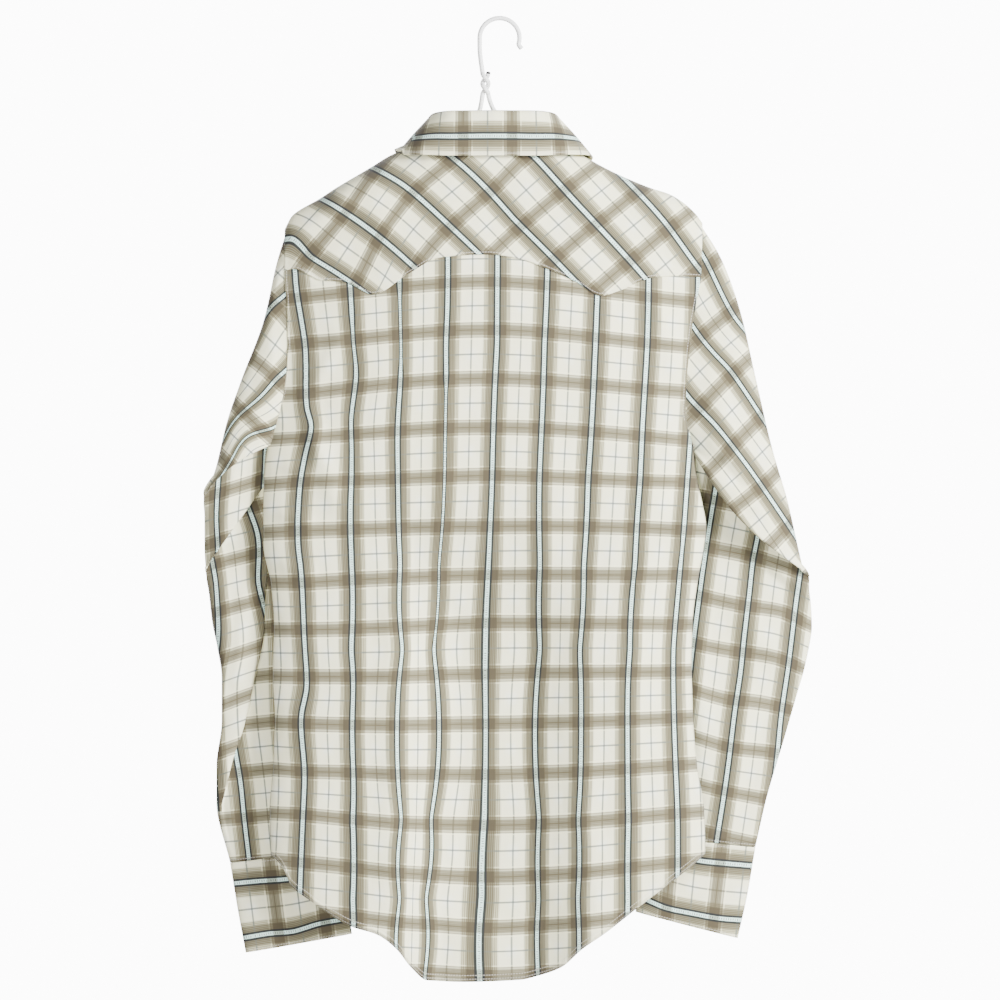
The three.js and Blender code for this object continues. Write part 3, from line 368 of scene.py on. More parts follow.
def chart(rows):
    """A smooth number(x, z) that takes each row's number at that row's point.

    A thin-plate spline: a plane plus one term r^2 log r for each row.
    """
    number, x, z = rows
    scale = 100.0
    points = np.stack([x, z], axis=1) / scale
    count = len(number)

    def bend(square):
        return 0.5 * square * np.log(square + 1e-12)

    apart = ((points[:, None] - points[None]) ** 2).sum(-1)
    plane = np.concatenate([np.ones((count, 1)), points], axis=1)
    left_side = np.zeros((count + 3, count + 3))
    left_side[:count, :count] = bend(apart) + 1e-5 * np.eye(count)
    left_side[:count, count:] = plane
    left_side[count:, :count] = plane.T
    weights = np.linalg.solve(left_side, np.concatenate([number, np.zeros(3)]))

    def at(px, pz):
        place = np.stack([px, pz], axis=-1) / scale
        square = ((place[..., None, :] - points) ** 2).sum(-1)
        return (bend(square) @ weights[:count] + weights[count]
                + place @ weights[count + 1:])

    return at


def columns(rows, *names):
    return [rows[name] for name in names]


def plaid_chart(stripes, bands):
    """The plaid's stripe number and band number as functions of x, z."""
    return (chart(columns(stripes, "number", "x", "z")),
            chart(columns(bands, "number", "x", "z")))


def back_chart():
    """The back's plaid chart, from the stripes' x at each height and the bands' heights."""
    stripes = [(k, BACK_STRIPES["s%d" % k], BACK_STRIPES["z"]) for k in range(8)]
    number = np.concatenate([np.full(len(x), float(k)) for k, x, _ in stripes]
                            + [STRIPE_BENDS["stripe"]])
    x = np.concatenate([x for _, x, _ in stripes] + [STRIPE_BENDS["x"]])
    z = np.concatenate([z for _, _, z in stripes] + [STRIPE_BENDS["z"]])
    sides = [("left", -189.0), ("middle", -9.0), ("right", 172.0)]
    count = len(BACK_BANDS["band"])
    band = np.concatenate([BACK_BANDS["band"]] * 3)
    band_x = np.concatenate([np.full(count, at) for _, at in sides])
    band_z = np.concatenate([BACK_BANDS[name] for name, _ in sides])
    return chart((number, x, z)), chart((band, band_x, band_z))


ridge = curve(RIDGE["x"], RIDGE["z"])
left = curve(LEFT["z"], LEFT["x"])
right = curve(RIGHT["z"], RIGHT["x"])
yoke_edge = curve(YOKE["x"], YOKE["z"])
hem = curve(HEM["x"], HEM["z"])
back_depth = curve(DEPTH["z"], DEPTH["back"])
front_depth = curve(DEPTH["z"], DEPTH["front"])
neck_half = curve(NECKLINE["at"], NECKLINE["half"])
neck_drop = curve(NECKLINE["at"], NECKLINE["drop"])
front_yoke_edge = curve(FRONT_YOKE["in"], FRONT_YOKE["z"])


def body_depth(x, z, middle):
    """Half the body's depth at x, z, in millimetres.

    It closes along the ridge above and along the side seams below the armholes, and
    stays open between them.
    """
    low, high = left(z), right(z)
    side = np.minimum(1.0, np.abs((2 * x - low - high) / (high - low)))
    armpit = mix(-391.0, -402.0, np.clip((x + 218) / 405, 0, 1))
    opening = np.clip((z - armpit) / 70, 0, 1)
    edge = 12.5 * np.sqrt(opening)
    power = mix(0.5, 1.0, np.sqrt(opening))
    across = np.maximum(0.0, 1 - side ** 2.6) ** power
    length = mix(55.0, 26.0, np.clip((np.abs(x - NECK_X) - 60) / 80, 0, 1))
    roll = 1 - np.clip((ridge(x) - z) / length, 0, 1)
    return mix(edge, middle, across) * np.sqrt(1 - roll * roll)


def recess(x, z):
    """How far the middle of the back lies in, growing from the yoke to the hem."""
    window = smooth((x + 104) / 52) * smooth((96 - x) / 72)
    return 30.0 * smooth((-430 - z) / 190) * window


def folds(x, z, rows):
    """The height of the soft folds at x, z: each a rounded ridge along a line's length."""
    height = np.zeros(np.broadcast(x, z).shape)
    for x1, z1, x2, z2, wide, high in zip(*rows.values()):
        dx, dz = x2 - x1, z2 - z1
        length = math.hypot(dx, dz)
        along = ((x - x1) * dx + (z - z1) * dz) / length
        off = ((x - x1) * dz - (z - z1) * dx) / length
        ends = smooth((along + wide) / (2 * wide)) * smooth((length + wide - along) / (2 * wide))
        height += high * ends * np.exp(-(off / wide) ** 2)
    return height


def back_y(x, z):
    return -body_depth(x, z, back_depth(z)) + recess(x, z)


def front_y(x, z):
    return body_depth(x, z, front_depth(z))


def over_ridge(x, drop):
    """Points by their drop from the ridge, negative towards the front."""
    z = ridge(x) - np.abs(drop)
    y = np.where(drop >= 0, back_y(x, z), front_y(x, z))
    return np.stack(np.broadcast_arrays(x, y, z), axis=-1)


def rounded_shares(count):
    """Shares from 0 to 1, closer together at both ends."""
    t = np.linspace(0, 1, count)
    return 0.6 * t + 0.4 * (1 - np.cos(math.pi * t)) / 2


def lengths(points, axis):
    """The length along a grid's rows or columns from its start, at every point."""
    step = np.linalg.norm(np.diff(points, axis=axis), axis=-1)
    start = np.zeros_like(np.take(step, [0], axis=axis))
    return np.concatenate([start, np.cumsum(step, axis=axis)], axis=axis)


def stitched(points, edges):
    """For every point, the distance to the nearest stitched edge and the length along it.

    edges names the grid's stitched sides: top, bottom, start, end, and hem for a bottom
    whose stitching lies further in, and armhole for a start and an end above the armpit.
    """
    down = lengths(points, 0)
    along = lengths(points, 1)
    far = np.full(down.shape, 200.0)
    options = {
        "top": (down, along), "bottom": (down[-1:] - down, along),
        "hem": (np.abs(down[-1:] - down - HEM_DEPTH), along),
        "start": (along, down), "end": (along[:, -1:] - along, down)}
    below = 200 * smooth((ARMPIT - points[..., 2]) / 12)
    options["armhole"] = (np.minimum(along, along[:, -1:] - along) + below, down)
    best, run = far, np.zeros_like(far)
    for name in edges.split():
        distance, length = options[name]
        run = np.where(distance < best, length, run)
        best = np.minimum(best, distance)
    return np.stack([best, run], axis=-1)


def panel_object(name, points, side, plaid, stitch, material, thick, around=False,
                 pinch=None):
    """A sheet of cloth through a grid of points, in millimetres, as one object.

    plaid holds the stripe and band numbers, either at every point of the grid or at every
    corner of every face. side is 1 where the outside is
    to the left of a row's direction looking down the rows, and -1 where it is opposite.
    around joins the last column to the first, and then plaid has one more column.
    pinch says, at every point, how far a narrow tuck hides the stripe there.
    """
    rows, count = points.shape[:2]
    spans = count if around else count - 1
    i, j = np.meshgrid(np.arange(rows - 1), np.arange(spans), indexing="ij")
    corner_i = np.stack([i, i + 1, i + 1, i], axis=-1)
    corner_j = np.stack([j, j, j + 1, j + 1], axis=-1)
    if side < 0:
        corner_i, corner_j = corner_i[..., ::-1], corner_j[..., ::-1]
    faces = (corner_i * count + corner_j % count).reshape(-1, 4)
    mesh = bpy.data.meshes.new(name)
    mesh.from_pydata((points.reshape(-1, 3) * MM).tolist(), [], faces.tolist())
    for layer, values in (("Plaid", plaid), ("Stitch", stitch)):
        uv = mesh.uv_layers.new(name=layer)
        if values.ndim == 4:
            at_corner = values if side > 0 else values[:, :, ::-1]
            flat = at_corner.reshape(-1, 2)
        else:
            flat = values[corner_i, corner_j].reshape(-1, 2)
        uv.data.foreach_set("uv", flat.astype(np.float32).ravel())
    mesh.uv_layers.active = mesh.uv_layers["Plaid"]
    hidden = mesh.attributes.new("pinch", "FLOAT", "POINT")
    if pinch is not None:
        hidden.data.foreach_set("value", pinch.astype(np.float32).ravel())
    mesh.polygons.foreach_set("use_smooth", np.ones(len(faces), dtype=bool))
    mesh.materials.append(material)
    mesh.update()
    made = bpy.data.objects.new(name, mesh)
    bpy.context.scene.collection.objects.link(made)
    solid = made.modifiers.new("Cloth", "SOLIDIFY")
    solid.thickness = thick * MM
    solid.offset = -1
    return made


class Socket:
    """A shader socket that takes part in plain sums, products and comparisons."""

    def __init__(self, graph, socket):
        self.graph = graph
        self.socket = socket

    def _math(self, kind, *values):
        return self.graph.node("ShaderNodeMath", {"operation": kind},
                               dict(enumerate(values)))

    def __add__(self, other):
        return self._math("ADD", self, other)

    def __radd__(self, other):
        return self._math("ADD", other, self)

    def __sub__(self, other):
        return self._math("SUBTRACT", self, other)

    def __rsub__(self, other):
        return self._math("SUBTRACT", other, self)

    def __mul__(self, other):
        return self._math("MULTIPLY", self, other)

    def __rmul__(self, other):
        return self._math("MULTIPLY", other, self)

    def __truediv__(self, other):
        return self._math("DIVIDE", self, other)

    def __rtruediv__(self, other):
        return self._math("DIVIDE", other, self)

    def __abs__(self):
        return self._math("ABSOLUTE", self)

    def fraction(self):
        return self._math("FRACT", self)

    def at_most(self, other):
        return self._math("MINIMUM", self, other)

    def at_least(self, other):
        return self._math("MAXIMUM", self, other)


class Graph:
    """The node tree of one new material."""

    def __init__(self, name):
        self.material = bpy.data.materials.new(name)
        self.material.use_nodes = True
        self.tree = self.material.node_tree
        self.tree.nodes.clear()

    def node(self, kind, settings=None, inputs=None, output=0):
        """A node of that type, its settings, its inputs by name or number, and one output."""
        made = self.tree.nodes.new(kind)
        for key, value in (settings or {}).items():
            setattr(made, key, value)
        for key, value in (inputs or {}).items():
            target = made.inputs[key]
            if isinstance(value, Socket):
                self.tree.links.new(value.socket, target)
            elif target.type == "RGBA" and len(value) == 3:
                target.default_value = (*value, 1.0)
            else:
                target.default_value = value
        return Socket(self, made.outputs[output]) if made.outputs else None

    def finish(self, shader):
        self.node("ShaderNodeOutputMaterial", None, {"Surface": shader})
        return self.material

    def within(self, distance, half, soft):
        """1 where a distance is under half, falling smoothly to 0 over soft."""
        return self.node("ShaderNodeMapRange", {"interpolation_type": "SMOOTHSTEP"}, {
            0: distance, 1: half - soft / 2, 2: half + soft / 2, 3: 1.0, 4: 0.0})

    def over(self, under, colour, mask, blend="MIX"):
        """A colour laid over another by a mask."""
        return self.node("ShaderNodeMix", {"data_type": "RGBA", "blend_type": blend},
                         {0: mask, 6: under, 7: colour}, 2)

    def noise(self, vector, scale, detail=2.0):
        return self.node("ShaderNodeTexNoise", None,
                         {"Vector": vector, "Scale": scale, "Detail": detail})


def plaid_material(settings):
    """Cotton plaid read from the Plaid map: u counts stripes and v counts bands."""
    graph = Graph("plaid_cloth")
    uv = graph.node("ShaderNodeUVMap", {"uv_map": "Plaid"})
    u = graph.node("ShaderNodeSeparateXYZ", None, {0: uv}, 0)
    v = graph.node("ShaderNodeSeparateXYZ", None, {0: uv}, 1)
    across = abs((u + 0.5).fraction() - 0.5) * settings.stripe_repeat
    down = abs((v + 0.5).fraction() - 0.5) * settings.band_repeat
    from_thin = abs(across - settings.stripe_repeat / 2)
    from_thin_band = abs(down - settings.band_repeat / 2)
    pinch = graph.node("ShaderNodeAttribute", {"attribute_name": "pinch"}, None, 2)
    drawn = across * (pinch * 0.75 + 1.0)
    stripe = graph.within(drawn, 3.5, 0.9)
    pale = graph.within(drawn, 1.6, 0.5)
    flank = graph.within(across, 8.8, 1.8)
    inner = graph.within(across, 5.4, 3.4)
    pins = graph.within(across, 12.6, 2.4)
    pin_lines = graph.node("ShaderNodeMath", {"operation": "SINE"}, {0: across * 4.4})
    weft_lines = graph.node("ShaderNodeMath", {"operation": "SINE"}, {0: down * 4.4})
    core = graph.within(down, 5.0, 1.0)
    middle = graph.within(down + 0.6, 1.8, 2.2)
    halo = graph.within(down, 7.4, 1.6)
    fine = graph.within(abs(down - 6.9), 0.35, 0.4)
    bright = graph.within(abs(down - 8.6), 0.5, 0.8)

    patch = graph.noise(uv, 0.9, 1.0)
    edge = graph.within(from_thin, 4.5, 7.0) * graph.within(from_thin_band, 5.0, 8.0)
    colour = graph.over(settings.ground_warm, settings.ground, edge * 0.6 + patch * 0.4)
    colour = graph.over(colour, settings.thin_line, graph.within(from_thin, 0.75, 0.6) * 0.8)
    colour = graph.over(colour, settings.pinstripe, pins * (pin_lines * 0.2 + 0.72))
    colour = graph.over(colour, settings.taupe, flank * (pin_lines * 0.05 + inner * 0.1 + 0.73))
    colour = graph.over(colour, settings.cream, bright * (0.5 - 0.45 * flank))
    colour = graph.over(colour, settings.band, halo * 0.5)
    colour = graph.over(colour, settings.band, core * (weft_lines * 0.1 + middle * 0.14 + 0.74))
    colour = graph.over(colour, settings.band_line, fine * 0.6)
    colour = graph.over(colour, settings.crossing, core * flank * 0.82)
    colour = graph.over(colour, settings.thin_line,
                        graph.within(from_thin_band, 0.8, 0.7) * (0.8 - 0.5 * flank))
    colour = graph.over(colour, settings.slate, stripe * 0.94)
    specks = graph.noise(graph.node("ShaderNodeMapping", None, {
        "Vector": uv, "Scale": (34.0, 19.0, 1.0)}), 1.0, 2.0)
    dots = graph.within(abs((v * 21.0).fraction() - 0.5), 0.24, 0.12)
    speck = graph.within(across, 0.9, 0.4) * dots * graph.within(0.75 - specks, 0.32, 0.2)
    blue = graph.over(settings.pale_blue, settings.speck, speck * 0.8)
    blue = graph.over(blue, (0.52, 0.47, 0.42), core, "MULTIPLY")
    colour = graph.over(colour, blue, pale)

    slub_u = graph.noise(graph.node("ShaderNodeMapping", None, {
        "Vector": uv, "Scale": (60.0, 1.2, 1.0)}), 1.0, 2.0)
    slub_v = graph.noise(graph.node("ShaderNodeMapping", None, {
        "Vector": uv, "Scale": (1.2, 60.0, 1.0)}), 1.0, 2.0)
    slub = slub_u + slub_v
    colour = graph.over(colour, (0.86, 0.85, 0.83), (slub - 0.72) * 0.6, "MULTIPLY")

    stitch_uv = graph.node("ShaderNodeUVMap", {"uv_map": "Stitch"})
    away = graph.node("ShaderNodeSeparateXYZ", None, {0: stitch_uv}, 0)
    run = graph.node("ShaderNodeSeparateXYZ", None, {0: stitch_uv}, 1)
    dash = graph.within(abs((run / 2.6).fraction() - 0.5), 0.36, 0.1)
    thread = graph.within(abs(away - settings.stitch_inset), 0.42, 0.3)
    colour = graph.over(colour, (0.70, 0.66, 0.58), thread * dash * 0.35)
    groove = graph.within(abs(away - settings.stitch_inset), 0.9, 1.2)
    near_edge = graph.within(away, settings.stitch_inset, 5.0)
    pucker = graph.noise(graph.node("ShaderNodeMapping", None, {
        "Vector": stitch_uv, "Scale": (0.05, 0.16, 1.0)}), 1.0, 1.0)
    wrinkle = graph.noise(graph.node("ShaderNodeMapping", None, {
        "Vector": uv, "Scale": (1.9, 1.3, 1.0)}), 1.0, 3.0)
    height = pucker * near_edge * 1.8 + wrinkle * 3.2 - groove * (0.5 - 0.3 * dash) + slub * 0.12
    bump = graph.node("ShaderNodeBump", None, {"Strength": 0.6, "Distance": 0.0008,
                                               "Height": height})
    shader = graph.node("ShaderNodeBsdfPrincipled", None, {
        "Base Color": colour, "Roughness": 0.88, "Specular IOR Level": 0.25,
        "Sheen Weight": 0.15, "Normal": bump})
    return graph.finish(shader)


def plain_material(name, colour, roughness, metallic=0.0, coat=0.0):
    """A material of one colour."""
    graph = Graph(name)
    shader = graph.node("ShaderNodeBsdfPrincipled", None, {
        "Base Color": colour, "Roughness": roughness, "Metallic": metallic,
        "Coat Weight": coat})
    return graph.finish(shader)


def pearl_material():
    """Pearl: soft clouds of white and warm grey under a clear coat."""
    graph = Graph("pearl_face")
    place = graph.node("ShaderNodeTexCoord", None, None, 3)
    cloud = graph.noise(place, 420.0, 3.0)
    colour = graph.over((0.86, 0.84, 0.80), (0.66, 0.67, 0.68), cloud)
    shader = graph.node("ShaderNodeBsdfPrincipled", None, {
        "Base Color": colour, "Roughness": 0.28, "Coat Weight": 0.6})
    return graph.finish(shader)


def shared_material(name, make):
    """The material of that name, made the first time it is asked for."""
    return bpy.data.materials.get(name) or make()


def cotton():
    settings = bpy.context.scene.shirt_cloth
    return shared_material("plaid_cloth", lambda: plaid_material(settings))


def finish_piece(made, nodes):
    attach(made, "root")
    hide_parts(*nodes)


def cloth_piece(name, nodes, points, side, plaid, edges, area=None, around=False,
                doubled=False, pinch=None):
    """Makes one sheet of cloth and declares its flat cut, in millimetres."""
    settings = bpy.context.scene.shirt_cloth
    thick = (settings.doubled if doubled else settings.single) / MM
    closed = np.concatenate([points, points[:, :1]], axis=1) if around else points
    made = panel_object(name, points, side, plaid, stitched(closed, edges), cotton(), thick,
                        around, pinch)
    finish_piece(made, nodes)
    return made


def grid_area(points):
    """The area of a grid's quads, in square millimetres."""
    down = points[1:, :-1] - points[:-1, :-1]
    across = points[:-1, 1:] - points[:-1, :-1]
    return float(np.linalg.norm(np.cross(down, across), axis=-1).sum())


def yoke_seam(share):
    """The x and z of the yoke's lower seam at each share across the back."""
    x = mix(left(-240.0), right(-246.0), share)
    z = yoke_edge(x)
    for _ in range(5):
        x = mix(left(z), right(z), share)
        z = yoke_edge(x)
    return x, z


def back_panel_grid(rows, count):
    """The back below its yoke: z runs from the yoke's seam to the hem at each share across,
    x between the side seams at that height, and y is the body's depth there."""
    share = rounded_shares(count)[None, :]
    down = np.linspace(0, 1, rows)[:, None]
    seam = yoke_seam(share)[1]
    top = seam + YOKE_LAP
    bottom = hem(mix(left(-795.0), right(-795.0), share))
    z = mix(top, bottom, down)
    x = mix(left(z), right(z), share)
    y = back_y(x, z) + 1.3 * smooth((z - seam + 1.5) / 1.5)
    inside = smooth(np.minimum(share, 1 - share) / 0.06)
    y = y - folds(x, z, BACK_FOLDS) * inside * smooth(down / 0.03)
    by_seam = (z < ARMPIT) & (np.minimum(share, 1 - share) < 0.1)
    y = np.where(by_seam, np.minimum(y, -SEAM / 2), y)
    return np.stack([x, y, z], axis=-1)


def yoke_top(share):
    """Where a column of the yoke ends, by x and drop: on a shoulder seam or the neckline."""
    on_left = share < 0.5
    sign = np.where(on_left, -1.0, 1.0)
    inward = np.where(on_left, share, 1 - share)
    neck_start = 0.3
    outer = np.where(on_left, left(-213.0) + SEAM, right(-213.0) - SEAM)
    corner = NECK_X + sign * neck_half(NECK_CORNER)
    at = NECK_CORNER * (1 - (inward - neck_start) / (0.5 - neck_start))
    at = np.clip(at, 0, NECK_CORNER)
    on_shoulder = inward <= neck_start
    x = np.where(on_shoulder, mix(outer, corner, inward / neck_start),
                 NECK_X + sign * neck_half(at))
    drop = np.where(on_shoulder, -SHOULDER_SEAM, neck_drop(at))
    return x, drop


def back_yoke_grid(rows, over_rows, count):
    """The yoke: each column runs from the seam up the back to a crest just below the
    ridge, then over the ridge to the shoulder seam, or up to the neckline."""
    share = rounded_shares(count)
    seam_x, seam_z = yoke_seam(share)
    low_drop = ridge(seam_x) - seam_z - SEAM / 2
    high_x, high_drop = yoke_top(share)
    crest = np.maximum(0.0, high_drop + 4)
    crest_x = mix(seam_x, high_x, 0.93)
    up = smooth(np.linspace(0, 1, rows) * 0.5 + 0.5)[:, None] * 2 - 1
    x = mix(seam_x, crest_x, up)
    drop = mix(low_drop, crest, up)
    over = np.linspace(0, 1, over_rows + 1)[1:, None]
    x = np.concatenate([x, mix(crest_x, high_x, over)])
    drop = np.concatenate([drop, mix(crest, high_drop, over)])
    points = over_ridge(x, drop)
    soft = folds(points[..., 0], points[..., 2], YOKE_FOLDS)
    soft = soft * smooth((ridge(points[..., 0]) - points[..., 2]) / 20) * (drop > 0)
    points[..., 1] -= soft
    return points, x, ridge(x) - drop


def add_back(context):
    points = back_panel_grid(BACK_ROWS, BACK_COLUMNS)
    stripe, band = back_chart()
    x, z = points[..., 0], points[..., 2]
    plaid = np.stack([stripe(x, z), band(x, z)], axis=-1)
    cloth_piece("cloth_back_panel", ["back_panel"], points, 1, plaid, "hem armhole",
                area=grid_area(points), pinch=folds(x, z, PINCHES))


def add_yoke(context):
    points, x, flat_z = back_yoke_grid(70, 12, BACK_COLUMNS)
    stripe, band = plaid_chart(YOKE_STRIPES, YOKE_BANDS)
    plaid = np.stack([stripe(x, flat_z), band(x, flat_z)], axis=-1)
    cloth_piece("cloth_back_yoke", ["back_yoke"], points, -1, plaid, "top bottom",
                area=grid_area(points))


def front_edge(sign):
    half = PLACKET_WIDTH / 2
    return CENTRE_X - half - SEAM if sign < 0 else CENTRE_X - half + 4


def front_neck_limit(sign, edge):
    """The neckline's parameter where it meets the front's edge at the placket."""
    low, high = 0.75, 1.0
    for _ in range(30):
        middle = (low + high) / 2
        if sign * (NECK_X + sign * neck_half(middle) - edge) > 0:
            low = middle
        else:
            high = middle
    return low


def front_top(inward, sign):
    """The top of a front, from the armhole to the placket."""
    edge = front_edge(sign)
    side = left if sign < 0 else right
    corner = NECK_X + sign * neck_half(NECK_CORNER)
    x_shoulder = mix(side(-216.0), corner, inward / FRONT_NECK)
    share = np.clip((inward - FRONT_NECK) / (1 - FRONT_NECK), 0, 1)
    halfway = mix(NECK_CORNER, 1.0, 0.5)
    limit = front_neck_limit(sign, edge)
    at = np.where(share > 0.5, mix(halfway, limit, (share - 0.5) / 0.5),
                  mix(NECK_CORNER, 1.0, share))
    x_neck = NECK_X + sign * neck_half(at)
    on_shoulder = inward <= FRONT_NECK
    x = np.where(on_shoulder, x_shoulder, x_neck)
    z = np.where(on_shoulder, ridge(x) - SHOULDER_SEAM - 1.2,
                 ridge(x) - np.abs(neck_drop(at)) - 0.5)
    return x, z


def underlap(x, sign):
    if sign < 0:
        return 0.0
    return -2.6 * (1 - smooth((x - CENTRE_X - PLACKET_WIDTH / 2) / 12))


def front_yoke_grid(sign, rows, count):
    """A front yoke: between the shoulder seam or neckline and its pointed lower edge."""
    inward = rounded_shares(count)[None, :]
    down = np.linspace(0, 1, rows)[:, None]
    side = left if sign < 0 else right
    high_x, high_z = front_top(inward, sign)
    low_z = front_yoke_edge(inward)
    low_x = mix(side(low_z), front_edge(sign), inward)
    z = mix(high_z, low_z + SEAM / 2, down)
    x = mix(high_x, low_x, down)
    return np.stack([x, front_y(x, z) + underlap(x, sign), z], axis=-1)


def front_panel_grid(sign, rows, count):
    """A front: from the yoke's edge to the hem, between the side seam and its front edge."""
    inward = rounded_shares(count)[None, :]
    down = np.linspace(0, 1, rows)[:, None]
    side = left if sign < 0 else right
    edge = front_edge(sign)
    bottom = hem(mix(side(-795.0), edge, inward)) + 3
    z = mix(front_yoke_edge(inward) - SEAM / 2, bottom, down)
    x = mix(side(z), edge, inward)
    inside = smooth(inward / 0.1) * smooth((1 - inward) / 0.15) * smooth(down / 0.05)
    y = front_y(x, z) + underlap(x, sign) + folds(x, z, FRONT_FOLDS) * inside
    y = np.where(z < ARMPIT, np.maximum(y, SEAM / 2), y)
    return np.stack([x, y, z], axis=-1)


def straight_plaid(points, settings):
    """The plaid of a panel that hangs straight, its stripes upright."""
    u = (points[..., 0] + 1.9) / settings.stripe_repeat
    v = (-250.8 - points[..., 2]) / settings.band_repeat
    return np.stack([u, v], axis=-1)


def bias_plaid(points, settings):
    """The plaid of a panel cut on the bias, its stripes at 45 degrees."""
    slope = math.sqrt(0.5)
    u = (points[..., 0] + points[..., 2]) * slope / settings.stripe_repeat
    v = (points[..., 0] - points[..., 2]) * slope / settings.band_repeat
    return np.stack([u, v], axis=-1)


def add_fronts(context):
    settings = context.scene.shirt_cloth
    for word, sign in (("left", -1), ("right", 1)):
        side = sign
        yoke = front_yoke_grid(sign, 40, 80)
        cloth_piece("cloth_%s_front_yoke" % word, ["%s_front_yoke" % word], yoke, side,
                    bias_plaid(yoke, settings), "bottom", area=grid_area(yoke))
        panel = front_panel_grid(sign, 90, 80)
        cloth_piece("cloth_%s_front" % word, ["%s_front" % word], panel, side,
                    straight_plaid(panel, settings), "top bottom",
                    area=grid_area(panel))


def placket_grid(rows, count):
    """The placket: a strip down the middle of the front, just outside the left front."""
    down = np.linspace(0, 1, rows)[:, None]
    share = np.linspace(0, 1, count)[None, :]
    half = PLACKET_WIDTH / 2
    x = mix(CENTRE_X - half, CENTRE_X + half, share) + 0 * down
    top = ridge(CENTRE_X) + neck_drop(1.0) - SEAM
    z = mix(top, hem(x) + 3, down)
    return np.stack([x, front_y(x, z) + 0.6, z], axis=-1)


def add_placket(context):
    points = placket_grid(120, 12)
    cloth_piece("cloth_front_placket", ["front_placket"], points, -1,
                straight_plaid(points, context.scene.shirt_cloth), "start end",
                doubled=True)


def past_end(v):
    return np.where(np.abs(v) > 1, -(np.abs(v) - 1) * 230, 0.0)


def side_of(v):
    return np.where(v < 0, -1.0, 1.0)


def fold_point(v):
    """The collar's fold line, from the left end (-1) round the back (0) to the right (1)."""
    a = np.minimum(1.0, np.abs(v))
    half = curve(FOLD["at"], FOLD["half"])(a) + past_end(v)
    y = curve(FOLD["at"], FOLD["y"])(a)
    z = curve(FOLD["at"], FOLD["z"])(a)
    return np.stack([NECK_X + side_of(v) * half, y, z], axis=-1)


def lap(v):
    """The left end lies over the right end in front."""
    return np.where(v < 0, 1.7, -0.9) * smooth((np.abs(v) - 0.86) / 0.1)


def collar_stand_grid(rows, count):
    """The stand: from the neckline up to the collar's fold line."""
    v = np.linspace(-1.06, 1.06, count)
    a = np.minimum(1.0, np.abs(v))
    x = NECK_X + side_of(v) * (neck_half(a) + past_end(v))
    drop = neck_drop(a)
    low = over_ridge(x, drop)
    low[:, 2] = np.where(a > 0.93, ridge(NECK_X) + drop + 50 * (1 - a), low[:, 2]) + 0.9
    inside = 2 * side_of(v) * smooth(np.abs(v) / 0.4)
    low[:, 0] -= np.where(np.abs(v) < 1, inside, 0.0)
    up = np.linspace(0, 1, rows)[:, None, None]
    points = mix(low[None], fold_point(v)[None], up)
    points[..., 1] += lap(v)
    return points


def rest_on(p):
    """Points of the leaf, kept clear of the shoulders and the fronts under it."""
    x, y, z = p[..., 0], p[..., 1], p[..., 2]
    lift = 4.3
    drop = ridge(x) - z
    middle = np.where(y < 0, back_depth(z), front_depth(z))
    need = body_depth(x, ridge(x) - 8, middle) + lift
    over = np.where(np.abs(y) < need, np.maximum(z, ridge(x) + lift - np.abs(y) * 0.2), z)
    depth = body_depth(x, z, middle) + lift
    out = np.where(np.abs(y) < depth, side_of(y) * depth, y)
    high = drop < 8
    return np.stack([x, np.where(high, y, out), np.where(high, over, z)], axis=-1)


def collar_leaf_grid(fall_rows, count):
    """The leaf: it rises inside the stand's top, rolls over the fold line and falls
    outside to its edge, bulging a little on the way."""
    v = np.linspace(-0.97, 0.97, count)
    fold = fold_point(v)
    fold[:, 1] += lap(v)
    s = np.abs(v) / 0.97
    edge = np.stack([
        NECK_X + side_of(v) * curve(LEAF["at"], LEAF["half"])(s),
        curve(LEAF["at"], LEAF["y"])(s), curve(LEAF["at"], LEAF["z"])(s)], axis=-1)
    along = fold_point(v + 0.02) - fold_point(v - 0.02)
    out = np.stack([along[:, 1], -along[:, 0], np.zeros(count)], axis=-1)
    out /= np.linalg.norm(out, axis=-1, keepdims=True)
    turn = np.linspace(0, 1, 13)
    across = curve(np.array([0, 0.2, 0.45, 0.75, 1.0]), np.array([-2, -1.5, 0.8, 3.8, 6.0]))
    rise = curve(np.array([0, 0.2, 0.45, 0.75, 1.0]), np.array([1.8, 3.8, 5, 4.3, 1.6]))
    up = np.array([0, 0, 1.0])
    rolled = (fold[None] + across(turn)[:, None, None] * out[None]
              + rise(turn)[:, None, None] * up)
    t = np.linspace(0, 1, fall_rows + 1)[1:, None, None]
    fallen = mix(rolled[-1][None], edge[None], t) + 5 * t * (1 - t) * out[None]
    return np.concatenate([rolled, rest_on(fallen)])


def add_collar(context):
    settings = context.scene.shirt_cloth
    stand = collar_stand_grid(14, 130)
    along = lengths(stand, 1)
    middle = along[:, along.shape[1] // 2][:, None]
    stand_plaid = np.stack([lengths(stand, 0) / settings.stripe_repeat + 0.3,
                            (along - middle) / settings.band_repeat], axis=-1)
    cloth_piece("cloth_collar_stand", ["collar_stand"], stand, -1, stand_plaid,
                "top bottom", doubled=True, area=grid_area(stand))
    leaf = collar_leaf_grid(34, 240)
    along = lengths(leaf, 1)
    middle = along[:, along.shape[1] // 2][:, None]
    up_from_edge = lengths(leaf, 0)[-1:] - lengths(leaf, 0)
    leaf_plaid = np.stack([(up_from_edge - 18.6) * 0.86 / settings.stripe_repeat,
                           (along - middle - 16.4) / settings.band_repeat], axis=-1)
    cloth_piece("cloth_collar_leaf", ["collar_leaf"], leaf, 1, leaf_plaid,
                "bottom start end", doubled=True, area=grid_area(leaf))


